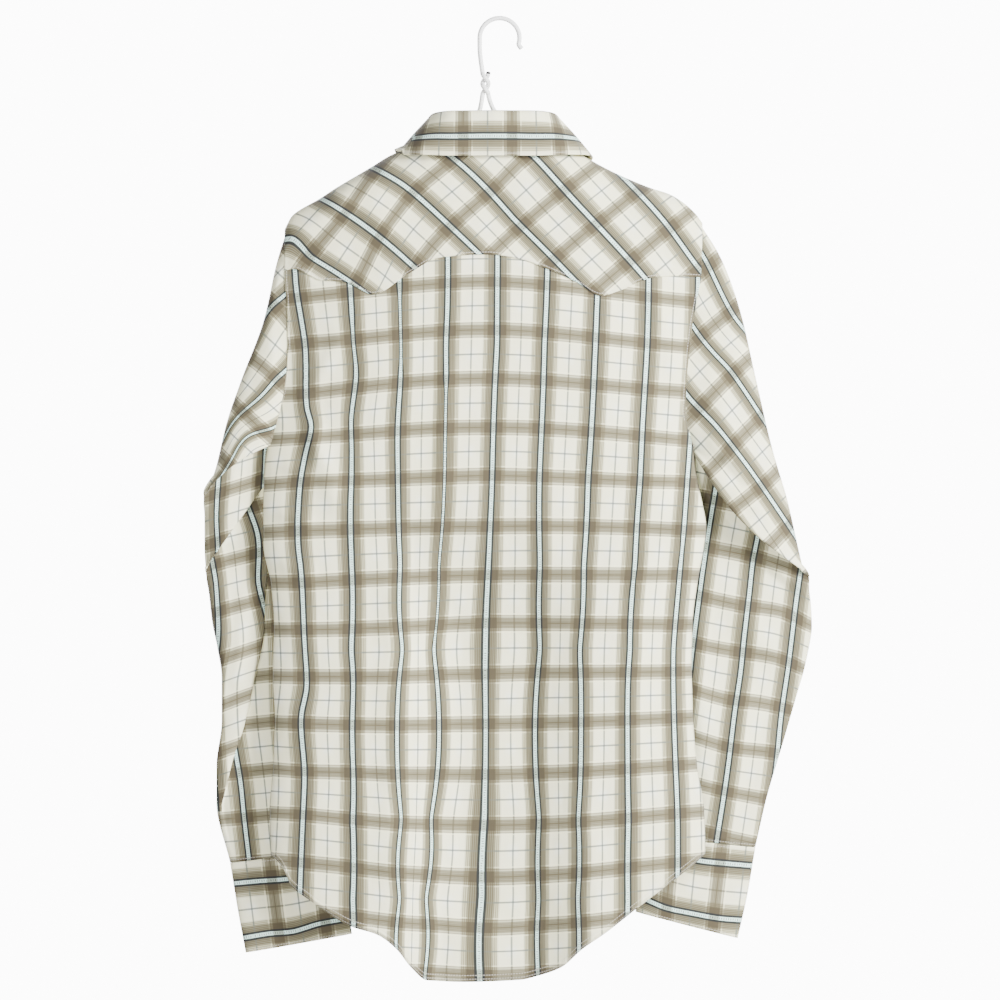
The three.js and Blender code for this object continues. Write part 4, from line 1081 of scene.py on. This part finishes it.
def resampled(rows, per_row):
    """A sleeve's table with more rows, each column along a smooth curve."""
    at = np.arange(len(rows["ox"]), dtype=float)
    fine = np.linspace(0, at[-1], int(at[-1]) * per_row + 1)
    return fine, {name: curve(at, values)(fine)[:, None] for name, values in rows.items()}


def ring_angles(count, share):
    """The angle of each column of each ring: the column at SPLIT of the near wall lies at
    that share of the way across, and the others are spread evenly before and after it."""
    half = count // 2
    split = int(SPLIT * half)
    k = np.arange(count)[None, :]
    at = np.arccos(1 - 2 * share)[:, None]
    before = at * k / split
    after = at + (math.pi - at) * (k - split) / (half - split)
    behind = math.pi + math.pi * (k - half) / (count - half)
    return np.where(k <= split, before, np.where(k < half, after, behind))


def ring_points(rows, angles, lift=0.0):
    """Rings of a sleeve or cuff: each runs once round between its outer and inner point,
    first along the wall nearer the back and then along the other."""
    rise_x = rows["oz"] - rows["iz"]
    rise_z = rows["ix"] - rows["ox"]
    length = np.hypot(rise_x, rise_z)
    up_x, up_z = rise_x / length, rise_z / length
    turn = (up_z < 0) | ((np.abs(up_z) < 0.2) & (up_x * rows["ox"] < 0))
    up_x, up_z = np.where(turn, -up_x, up_x), np.where(turn, -up_z, up_z)
    t = (1 - np.cos(angles)) / 2
    swell = np.abs(np.sin(angles)) ** 0.75
    near = np.sin(angles) > 0
    middle = mix(rows["yo"], rows["yi"], t)
    y = np.where(near, middle - rows["near"] * swell - lift, middle + rows["far"] * swell)
    shift = np.where(near, rows["tuck"], 0.0) * swell - rows["bow"] * np.sin(math.pi * t)
    x = mix(rows["ox"], rows["ix"], t) + shift * up_x
    z = mix(rows["oz"], rows["iz"], t) + shift * up_z
    return np.stack(np.broadcast_arrays(x, y, z), axis=-1)


def sleeve_grid(table_rows, sign, per_row, count, split_share, roll, near_folds, far_folds):
    """A sleeve: rings of its table, its first rings blended from the body's armhole.

    Along the split column the near wall steps down from a rolled layer, which overhangs
    the layer under it, by roll at each row.
    """
    place, rows = resampled(table_rows, per_row)
    angles = ring_angles(count, split_share(place))
    k = np.arange(count)[None, :]
    split = int(SPLIT * (count // 2))
    raised = roll(place)[:, None] * np.where(k <= split, smooth(k / 6), 0.0)
    points = ring_points(rows, angles, raised)
    over = roll(place)[:, None] / ROLL_STEP * np.where(k <= split, smooth((k - split + 4) / 4), 0)
    run_x, run_z = rows["ix"] - rows["ox"], rows["iz"] - rows["oz"]
    length = np.hypot(run_x, run_z)
    points[..., 0] += 3.5 * over * run_x / length
    points[..., 2] += 3.5 * over * run_z / length
    points[..., 1] += 2.0 * over ** 3
    x, z = points[..., 0], points[..., 2]
    soft = np.where(np.sin(angles) > 0, -folds(x, z, near_folds), folds(x, z, far_folds))
    ends = smooth(place / 2) * smooth((place[-1] - place) / 0.7)
    points[..., 1] += soft * smooth(np.abs(np.sin(angles)) / 0.5) * ends[:, None]
    t = (1 - np.cos(angles)) / 2
    side = left if sign < 0 else right
    z = mix(table_rows["oz"][0], table_rows["iz"][0], t)
    x = side(z)
    y = np.where(np.sin(angles) > 0, back_y(x, z), front_y(x, z))
    y = np.where((t < 0.001) | (t > 0.999), 0.0, y)
    hole = np.stack([x - sign * 2.5, y * 0.93, z], axis=-1)
    first = {name: values[0] for name, values in rows.items()}
    outer = np.concatenate([rows["ox"] - first["ox"], rows["yo"], rows["oz"] - first["oz"]],
                           axis=1)[:, None]
    inner = np.concatenate([rows["ix"] - first["ix"], rows["yi"], rows["iz"] - first["iz"]],
                           axis=1)[:, None]
    carried = hole + outer * (1 - t)[..., None] + inner * t[..., None]
    blend = curve(np.arange(5.0), np.array([0, 0.4, 0.75, 0.93, 1.0]))(place)
    return mix(carried, points, blend[:, None, None])


def sleeve_plaid(points, table_rows, sign, choose, charts, settings):
    """The plaid at every corner of every face of a sleeve.

    choose gives the chart's number for a face of the near wall by its row and column. On
    the far wall the stripes run along the outer edge, from the seam there.
    """
    ring_count = points.shape[1]
    x, z = points[..., 0], points[..., 2]
    order = np.argsort(table_rows["oz"])
    outer_z, outer_x = table_rows["oz"][order], table_rows["ox"][order]
    run = np.concatenate([[0.0], np.cumsum(np.hypot(np.diff(outer_x), np.diff(outer_z)))])
    far_stripe = sign * (np.interp(z, outer_z, outer_x) - x) / settings.stripe_repeat
    far_band = -np.interp(z, outer_z, run) / settings.band_repeat
    i, j = np.meshgrid(np.arange(points.shape[0] - 1), np.arange(ring_count), indexing="ij")
    corner_i = np.stack([i, i + 1, i + 1, i], axis=-1)
    corner_j = np.stack([j, j, j + 1, j + 1], axis=-1) % ring_count
    number = np.where(j >= ring_count // 2, -1, choose(i, j))
    plaid = np.stack([far_stripe + 0.3, far_band], axis=-1)[corner_i, corner_j]
    cx, cz = x[corner_i, corner_j], z[corner_i, corner_j]
    for k, (stripe, band) in enumerate(charts):
        picked = number == k
        plaid[picked, :, 0] = stripe(cx[picked], cz[picked])
        plaid[picked, :, 1] = band(cx[picked], cz[picked])
    return plaid


def add_sleeves(context):
    settings = context.scene.shirt_cloth
    per_row = SLEEVE_ROWS
    split = int(SPLIT * (RING_COLUMNS // 2))
    right_charts = [plaid_chart(UPPER_RIGHT_STRIPES, UPPER_RIGHT_BANDS),
                    plaid_chart(LOWER_RIGHT_STRIPES, LOWER_RIGHT_BANDS)]
    left_charts = [plaid_chart(UPPER_LEFT_STRIPES, UPPER_LEFT_BANDS),
                   plaid_chart(MIDDLE_LEFT_STRIPES, MIDDLE_LEFT_BANDS),
                   plaid_chart(OUTER_LEFT_STRIPES, OUTER_LEFT_BANDS),
                   plaid_chart(LOWER_LEFT_STRIPES, LOWER_LEFT_BANDS)]

    def choose_right(row, column):
        return np.where(row / per_row < 10.5, 0, 1)

    def choose_left(row, column):
        place = row / per_row
        under = (column >= split) & (column < RING_COLUMNS // 2) & (place >= 17.5)
        lower = np.where(under | (place > 24), 3, 2)
        return np.where(place < 9.5, 0, np.where(place < 16, 1, lower))

    def left_share(place):
        return np.interp(place, LEFT_ROLL["row"], LEFT_ROLL["share"])

    def left_roll(place):
        return ROLL_STEP * np.interp(place, LEFT_ROLL["row"], LEFT_ROLL["raised"])

    def even_share(place):
        return np.full(place.shape, (1 - math.cos(math.pi * SPLIT)) / 2)

    def no_roll(place):
        return np.zeros(place.shape)

    for word, rows_table, sign, side, choose, charts, share, roll, near_folds, far_folds in (
            ("left", LEFT_SLEEVE, -1, 1, choose_left, left_charts, left_share, left_roll,
             LEFT_NEAR_FOLDS, LEFT_FAR_FOLDS),
            ("right", RIGHT_SLEEVE, 1, -1, choose_right, right_charts, even_share, no_roll,
             RIGHT_NEAR_FOLDS, RIGHT_FAR_FOLDS)):
        points = sleeve_grid(rows_table, sign, per_row, RING_COLUMNS, share, roll,
                                           near_folds, far_folds)
        plaid = sleeve_plaid(points, rows_table, sign, choose, charts, settings)
        cloth_piece("cloth_%s_sleeve" % word, ["%s_sleeve" % word], points, side,
                    plaid, "top bottom", around=True, area=grid_area(points))


def cuff_grid(rows_table, rows_count, count):
    """A cuff: one band round the wrist whose ends lap on the far side."""
    per_row = (rows_count - 1) // (len(rows_table["ox"]) - 1)
    _, rows = resampled(rows_table, per_row)
    share = np.linspace(0, 1, count)
    angles = 1.42 * math.pi + share * (2 * math.pi + 0.42)
    points = ring_points(rows, angles)
    points[..., 1] -= 1.25 * (smooth(share * 31 / 6) + smooth((share * 31 - 25) / 6) - 1)
    return points, angles, rows


def add_cuffs(context):
    for word, rows_table, side, charts in (
            ("left", LEFT_CUFF, 1, (LEFT_CUFF_STRIPES, LEFT_CUFF_BANDS)),
            ("right", RIGHT_CUFF, -1, (RIGHT_CUFF_STRIPES, RIGHT_CUFF_BANDS))):
        points, angles, rows = cuff_grid(rows_table, 41, 180)
        stripe, band = plaid_chart(*charts)
        behind = np.sin(angles) < 0
        x = np.where(behind, 2 * rows["ox"] - points[..., 0], points[..., 0])
        z = np.where(behind, 2 * rows["oz"] - points[..., 2], points[..., 2])
        plaid = np.stack([stripe(x, z), band(x, z)], axis=-1)
        cloth_piece("cloth_%s_cuff" % word, ["%s_cuff" % word], points, side, plaid,
                    "top bottom start end", doubled=True)


def mesh_object(name, points, faces, materials, face_material=None):
    """A plain mesh object from points in millimetres, its faces and their materials."""
    mesh = bpy.data.meshes.new(name)
    mesh.from_pydata((points * MM).tolist(), [], faces)
    for material in materials:
        mesh.materials.append(material)
    mesh.polygons.foreach_set("use_smooth", np.ones(len(faces), dtype=bool))
    if face_material is not None:
        mesh.polygons.foreach_set("material_index", np.array(face_material, dtype=np.int32))
    mesh.update()
    made = bpy.data.objects.new(name, mesh)
    bpy.context.scene.collection.objects.link(made)
    return made


def hanger_path():
    """The wire's middle line: the tip, the hook's arc, one strand of the twisted neck, the
    two shoulders joined by the lower bar, and the other strand."""
    centre_z = 2.2 - 19.0
    arc = np.linspace(-0.3, math.pi, 25)
    hook = np.stack([0.5 + 19 * np.cos(arc), 0 * arc, centre_z + 19 * np.sin(arc)], axis=-1)
    turn = np.linspace(0, 1, 21)

    def strand(v, phase):
        angle = phase + 2 * math.pi * v
        return np.stack([-13 + 2.75 * np.cos(angle), 2.75 * np.sin(angle),
                         mix(-50.0, -71.0, v)], axis=-1)

    def flat(rows):
        return np.stack([rows["x"], 0 * rows["x"], rows["z"]], axis=-1)

    return np.concatenate([
        [[21.5, 0, -27]], hook, [[-18.4, 0, -28], [-17.6, 0, -37]], strand(turn, math.pi),
        [[-19, 0, -87]], flat(WIRE_LEFT), [[-90, 0, -203], [0, 0, -203], [90, 0, -203]],
        flat(WIRE_RIGHT), [[-4, 0, -87]], strand(1 - turn, 0.0)])


def tube(path, radius, samples, segments):
    """A round wire: circles across a smooth path, closed by a fan at each end."""
    chord = np.concatenate([[0], np.cumsum(np.linalg.norm(np.diff(path, axis=0), axis=1))])
    at = np.linspace(0, chord[-1], samples)
    line = np.stack([curve(chord, path[:, k])(at) for k in range(3)], axis=-1)
    tangent = np.gradient(line, axis=0)
    tangent /= np.linalg.norm(tangent, axis=1, keepdims=True)
    across = np.cross(tangent, [0.0, 1.0, 0.0])
    across /= np.linalg.norm(across, axis=1, keepdims=True)
    other = np.cross(across, tangent)
    angle = 2 * math.pi * np.arange(segments) / segments
    ring = (np.cos(angle)[None, :, None] * across[:, None]
            + np.sin(angle)[None, :, None] * other[:, None])
    points = (line[:, None] + radius * ring).reshape(-1, 3)
    i, j = np.meshgrid(np.arange(samples - 1), np.arange(segments), indexing="ij")
    k = (j + 1) % segments
    faces = np.stack([i * segments + j, i * segments + k, (i + 1) * segments + k,
                      (i + 1) * segments + j], axis=-1).reshape(-1, 4).tolist()
    faces.append(list(range(segments - 1, -1, -1)))
    faces.append(list(range((samples - 1) * segments, samples * segments)))
    return points, faces


def add_hanger(context):
    settings = context.scene.shirt_fittings
    points, faces = tube(hanger_path(), 2.2, 900, 20)
    coating = shared_material("coated_wire", lambda: plain_material(
        "coated_wire", tuple(settings.hanger_colour), 0.42))
    cut = shared_material("wire_end", lambda: plain_material(
        "wire_end", (0.05, 0.05, 0.05), 0.5))
    face_material = [0] * (len(faces) - 2) + [1, 1]
    made = mesh_object("wire_hanger", points, faces, [coating, cut], face_material)
    finish_piece(made, ["hanger"])


def snap_mesh(x, y, z):
    """A snap's cap turned about +Y: a metal rim round a domed pearl face."""
    profile = np.array([(0, 0), (5.0, 0), (5.5, 0.5), (5.6, 1.0), (5.3, 1.6), (4.8, 1.9),
                        (4.4, 1.75), (4.2, 1.9), (3.4, 2.4), (2.2, 2.72), (1.1, 2.86), (0, 2.9)])
    segments = 32
    angle = 2 * math.pi * np.arange(segments) / segments
    inner = profile[1:-1]
    ring = np.stack([
        inner[:, :1] * np.cos(angle), np.repeat(inner[:, 1:], segments, axis=1),
        inner[:, :1] * np.sin(angle)], axis=-1).reshape(-1, 3)
    points = np.concatenate([ring, [[0, 0, 0], [0, profile[-1, 1], 0]]])
    last = len(inner) - 1
    i, j = np.meshgrid(np.arange(last), np.arange(segments), indexing="ij")
    k = (j + 1) % segments
    quads = np.stack([i * segments + j, (i + 1) * segments + j, (i + 1) * segments + k,
                      i * segments + k], axis=-1).reshape(-1, 4)
    j = np.arange(segments)
    k = (j + 1) % segments
    base = np.stack([j, k, np.full(segments, len(ring))], axis=-1)
    crown = np.stack([last * segments + k, last * segments + j,
                      np.full(segments, len(ring) + 1)], axis=-1)
    faces = quads.tolist() + base.tolist() + crown.tolist()
    pearl = (quads[:, 0] // segments >= 6).astype(int).tolist() + [0] * segments + [1] * segments
    return points + np.array([x, y, z]), faces, pearl


def snap_places():
    """Each snap's node name and seat: seven down the placket and three on each cuff."""
    places = []
    for i, z in enumerate((-184.0, -245.0, -345.0, -445.0, -545.0, -645.0, -745.0)):
        y = 39.2 if i == 0 else float(front_y(CENTRE_X, z)) + 0.95
        places.append(("placket_snap_%d" % (i + 1), CENTRE_X, y, z))
    t = (1 - math.cos(1.42 * math.pi + 0.2)) / 2
    for word, rows in (("left", LEFT_CUFF), ("right", RIGHT_CUFF)):
        for i, down in enumerate((0.24, 0.5, 0.76)):
            outer = [mix(rows[c][0], rows[c][-1], down) for c in ("ox", "oz")]
            inner = [mix(rows[c][0], rows[c][-1], down) for c in ("ix", "iz")]
            x, z = (mix(a, b, t) for a, b in zip(outer, inner))
            places.append(("%s_cuff_snap_%d" % (word, i + 1), x, mix(28, 31, t) + 13.75, z))
    return places


def add_snaps(context):
    rim = shared_material("snap_rim", lambda: plain_material(
        "snap_rim", (0.60, 0.59, 0.57), 0.3, metallic=1.0))
    pearl = shared_material("pearl_face", pearl_material)
    for node, x, y, z in snap_places():
        points, faces, kinds = snap_mesh(x, y, z)
        made = mesh_object("pearl_" + node, points, faces, [rim, pearl], kinds)
        finish_piece(made, [node])


def cyclorama(settings):
    """A round backdrop: a flat floor that curves up all round into a wall."""
    profile = np.array([(0, 0), (3, 0), (6, 0), (7.5, 0.25), (9, 1.1), (10, 2.4), (10.7, 4.2),
                        (11, 6.5), (11, 9)])
    at = np.linspace(0, len(profile) - 1, 65)
    radius = curve(np.arange(9.0), profile[:, 0])(at)
    height = curve(np.arange(9.0), profile[:, 1])(at)
    angle = np.linspace(0, 2 * math.pi, 97)[:-1]
    points = np.stack([
        radius[1:, None] * np.cos(angle), radius[1:, None] * np.sin(angle),
        np.repeat(height[1:, None], 96, axis=1)], axis=-1).reshape(-1, 3)
    i, j = np.meshgrid(np.arange(63), np.arange(96), indexing="ij")
    k = (j + 1) % 96
    faces = np.stack([i * 96 + j, i * 96 + k, (i + 1) * 96 + k, (i + 1) * 96 + j],
                     axis=-1).reshape(-1, 4).tolist()
    faces.append(list(range(96)))
    points[:, 2] += settings.floor_height
    graph = Graph("backdrop_white")
    place = graph.node("ShaderNodeTexCoord", None, None, 3)
    apart = graph.node("ShaderNodeVectorMath", {"operation": "DISTANCE"},
                       {0: place, 1: (0.0, 11.0, -0.5)}, 1)
    middle = graph.within(apart, 8.0, 2.0)
    side = settings.side_glow / settings.backdrop_glow
    glow = graph.over((side, side, side), (1.0, 1.0, 1.0), middle)
    shader = graph.node("ShaderNodeEmission", None, {
        "Color": glow, "Strength": settings.backdrop_glow})
    return mesh_object("backdrop", points / MM, faces, [graph.finish(shader)])


def area_light(name, place, target, size, power):
    """A square light at place, turned to a target."""
    data = bpy.data.lights.new(name, "AREA")
    data.shape = "SQUARE"
    data.size = size
    data.energy = power
    made = bpy.data.objects.new(name, data)
    bpy.context.scene.collection.objects.link(made)
    made.location = place
    away = np.array(place) - np.array(target)
    flat = math.hypot(away[0], away[1])
    made.rotation_euler = (math.atan2(flat, away[2]), 0.0, math.atan2(away[0], -away[1]))
    return made


def add_stage(context):
    settings = context.scene.shirt_stage
    scene = context.scene
    world = bpy.data.worlds.new("studio")
    world.use_nodes = True
    background = world.node_tree.nodes["Background"]
    background.inputs[0].default_value = (1.0, 1.0, 1.0, 1.0)
    background.inputs[1].default_value = settings.world_light
    scene.world = world
    backdrop = cyclorama(settings)
    key = area_light("key", (2.05, -1.75, 0.35), (0, 0, -0.5), 1.0, settings.key_power)
    fill = area_light("fill", (-0.6, -2.8, -1.0), (0, 0, -0.7), 1.2, settings.fill_power)
    data = bpy.data.cameras.new("camera")
    data.sensor_width = 36.0
    data.lens = 36.0 * (settings.distance - 0.03) / 0.95
    camera = bpy.data.objects.new("camera", data)
    scene.collection.objects.link(camera)
    camera.location = (0.00095, -settings.distance, -0.4579)
    camera.rotation_euler = (math.pi / 2, 0, 0)
    data.clip_end = 100.0
    scene.camera = camera


def colour_property(name, text, value):
    """A property for a colour in linear light."""
    return bpy.props.FloatVectorProperty(name=name, description=text, default=value,
                                         subtype="COLOR", size=3, min=0.0, max=1.0)


class ShirtCloth(bpy.types.PropertyGroup):
    single: bpy.props.FloatProperty(
        name="Single layer", description="Thickness of one layer of cloth", default=0.0009,
        min=0.0003, max=0.003, subtype="DISTANCE", unit="LENGTH", precision=4)
    doubled: bpy.props.FloatProperty(
        name="Doubled layer", description="Thickness of a collar, cuff or placket",
        default=0.0016, min=0.0005, max=0.004, subtype="DISTANCE", unit="LENGTH", precision=4)
    stripe_repeat: bpy.props.FloatProperty(
        name="Stripe repeat", description="Millimetres from one stripe to the next",
        default=46.8, min=10.0, max=120.0)
    band_repeat: bpy.props.FloatProperty(
        name="Band repeat", description="Millimetres from one band to the next",
        default=46.4, min=10.0, max=120.0)
    stitch_inset: bpy.props.FloatProperty(
        name="Stitch inset", description="Millimetres from an edge to its stitching",
        default=2.2, min=0.5, max=12.0)
    ground: colour_property("Ground", "Off-white ground of the cloth", (0.86, 0.87, 0.74))
    ground_warm: colour_property("Warm ground", "Warmer patches of the ground",
                                 (0.87, 0.84, 0.56))
    taupe: colour_property("Taupe", "Flank beside a stripe", (0.080, 0.067, 0.037))
    pinstripe: colour_property("Pinstripe", "Fine lines outside the flank",
                               (0.160, 0.140, 0.070))
    slate: colour_property("Slate", "Dark line each side of a stripe", (0.016, 0.019, 0.020))
    pale_blue: colour_property("Pale blue", "Middle of a stripe", (0.66, 0.88, 0.80))
    speck: colour_property("Speck", "Specks along a stripe", (0.07, 0.085, 0.085))
    thin_line: colour_property("Thin line", "Line midway between stripes or bands",
                               (0.11, 0.135, 0.122))
    cream: colour_property("Cream", "Pale line beside a band", (0.98, 0.93, 0.62))
    band: colour_property("Band", "Band across the stripes", (0.100, 0.084, 0.047))
    band_line: colour_property("Band line", "Fine line beside a band", (0.080, 0.062, 0.036))
    crossing: colour_property("Crossing", "Where a band crosses a flank",
                              (0.066, 0.053, 0.031))


class ShirtFittings(bpy.types.PropertyGroup):
    hanger_colour: colour_property("Hanger", "Plastic coating of the wire", (0.80, 0.80, 0.79))


class ShirtStage(bpy.types.PropertyGroup):
    distance: bpy.props.FloatProperty(
        name="Camera distance", description="Distance from the shirt to the camera",
        default=6.0, min=1.0, max=20.0, unit="LENGTH")
    floor_height: bpy.props.FloatProperty(
        name="Floor", description="Height of the backdrop's floor", default=-1.3, unit="LENGTH")
    backdrop_glow: bpy.props.FloatProperty(
        name="Backdrop glow", description="Light given off behind the shirt", default=12.0,
        min=0.0, max=40.0)
    side_glow: bpy.props.FloatProperty(
        name="Side glow", description="Light given off by the rest of the backdrop",
        default=0.5, min=0.0, max=40.0)
    world_light: bpy.props.FloatProperty(
        name="World light", description="Strength of the even light", default=0.37, min=0.0)
    key_power: bpy.props.FloatProperty(
        name="Key", description="Power of the main light, in watts", default=318.0, min=0.0)
    fill_power: bpy.props.FloatProperty(
        name="Fill", description="Power of the second light, in watts", default=128.0, min=0.0)


def operator(idname, label, text, action):
    """An operator class that runs one builder and reports it as finished."""

    def execute(self, context):
        action(context)
        return {"FINISHED"}

    return type("SHIRT_OT_" + idname.split(".")[1], (bpy.types.Operator,), {
        "bl_idname": idname, "bl_label": label, "__doc__": text, "execute": execute})


OPERATORS = [
    operator("shirt.add_back", "Back panel", "Adds the back panel", add_back),
    operator("shirt.add_yoke", "Back yoke", "Adds the western back yoke", add_yoke),
    operator("shirt.add_fronts", "Fronts", "Adds the fronts and their yokes", add_fronts),
    operator("shirt.add_placket", "Placket", "Adds the front placket", add_placket),
    operator("shirt.add_collar", "Collar", "Adds the collar's stand and leaf", add_collar),
    operator("shirt.add_sleeves", "Sleeves", "Adds both sleeves", add_sleeves),
    operator("shirt.add_cuffs", "Cuffs", "Adds both cuffs", add_cuffs),
    operator("shirt.add_snaps", "Snaps", "Adds the pearl snaps", add_snaps),
    operator("shirt.add_hanger", "Hanger", "Adds the wire hanger", add_hanger),
    operator("shirt.add_stage", "Stage", "Adds the backdrop, lights and camera", add_stage),
]


class SHIRT_PT_panel(bpy.types.Panel):
    bl_label = "Western Snap Shirt"
    bl_idname = "SHIRT_PT_panel"
    bl_space_type = "VIEW_3D"
    bl_region_type = "UI"
    bl_category = "Shirt"

    def draw(self, context):
        for kind in OPERATORS:
            self.layout.operator(kind.bl_idname)
        for name in ("shirt_cloth", "shirt_fittings", "shirt_stage"):
            group = getattr(context.scene, name)
            box = self.layout.box()
            for key in group.bl_rna.properties.keys():
                if key not in ("rna_type", "name"):
                    box.prop(group, key)


CLASSES = [ShirtCloth, ShirtFittings, ShirtStage, *OPERATORS, SHIRT_PT_panel]


def register():
    for kind in CLASSES:
        bpy.utils.register_class(kind)
    bpy.types.Scene.shirt_cloth = bpy.props.PointerProperty(type=ShirtCloth)
    bpy.types.Scene.shirt_fittings = bpy.props.PointerProperty(type=ShirtFittings)
    bpy.types.Scene.shirt_stage = bpy.props.PointerProperty(type=ShirtStage)


def unregister():
    del bpy.types.Scene.shirt_stage
    del bpy.types.Scene.shirt_fittings
    del bpy.types.Scene.shirt_cloth
    for kind in reversed(CLASSES):
        bpy.utils.unregister_class(kind)


def main():
    register()
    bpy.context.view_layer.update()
    for kind in OPERATORS:
        group, name = kind.bl_idname.split(".")
        getattr(getattr(bpy.ops, group), name)()


if __name__ == "__main__":
    main()
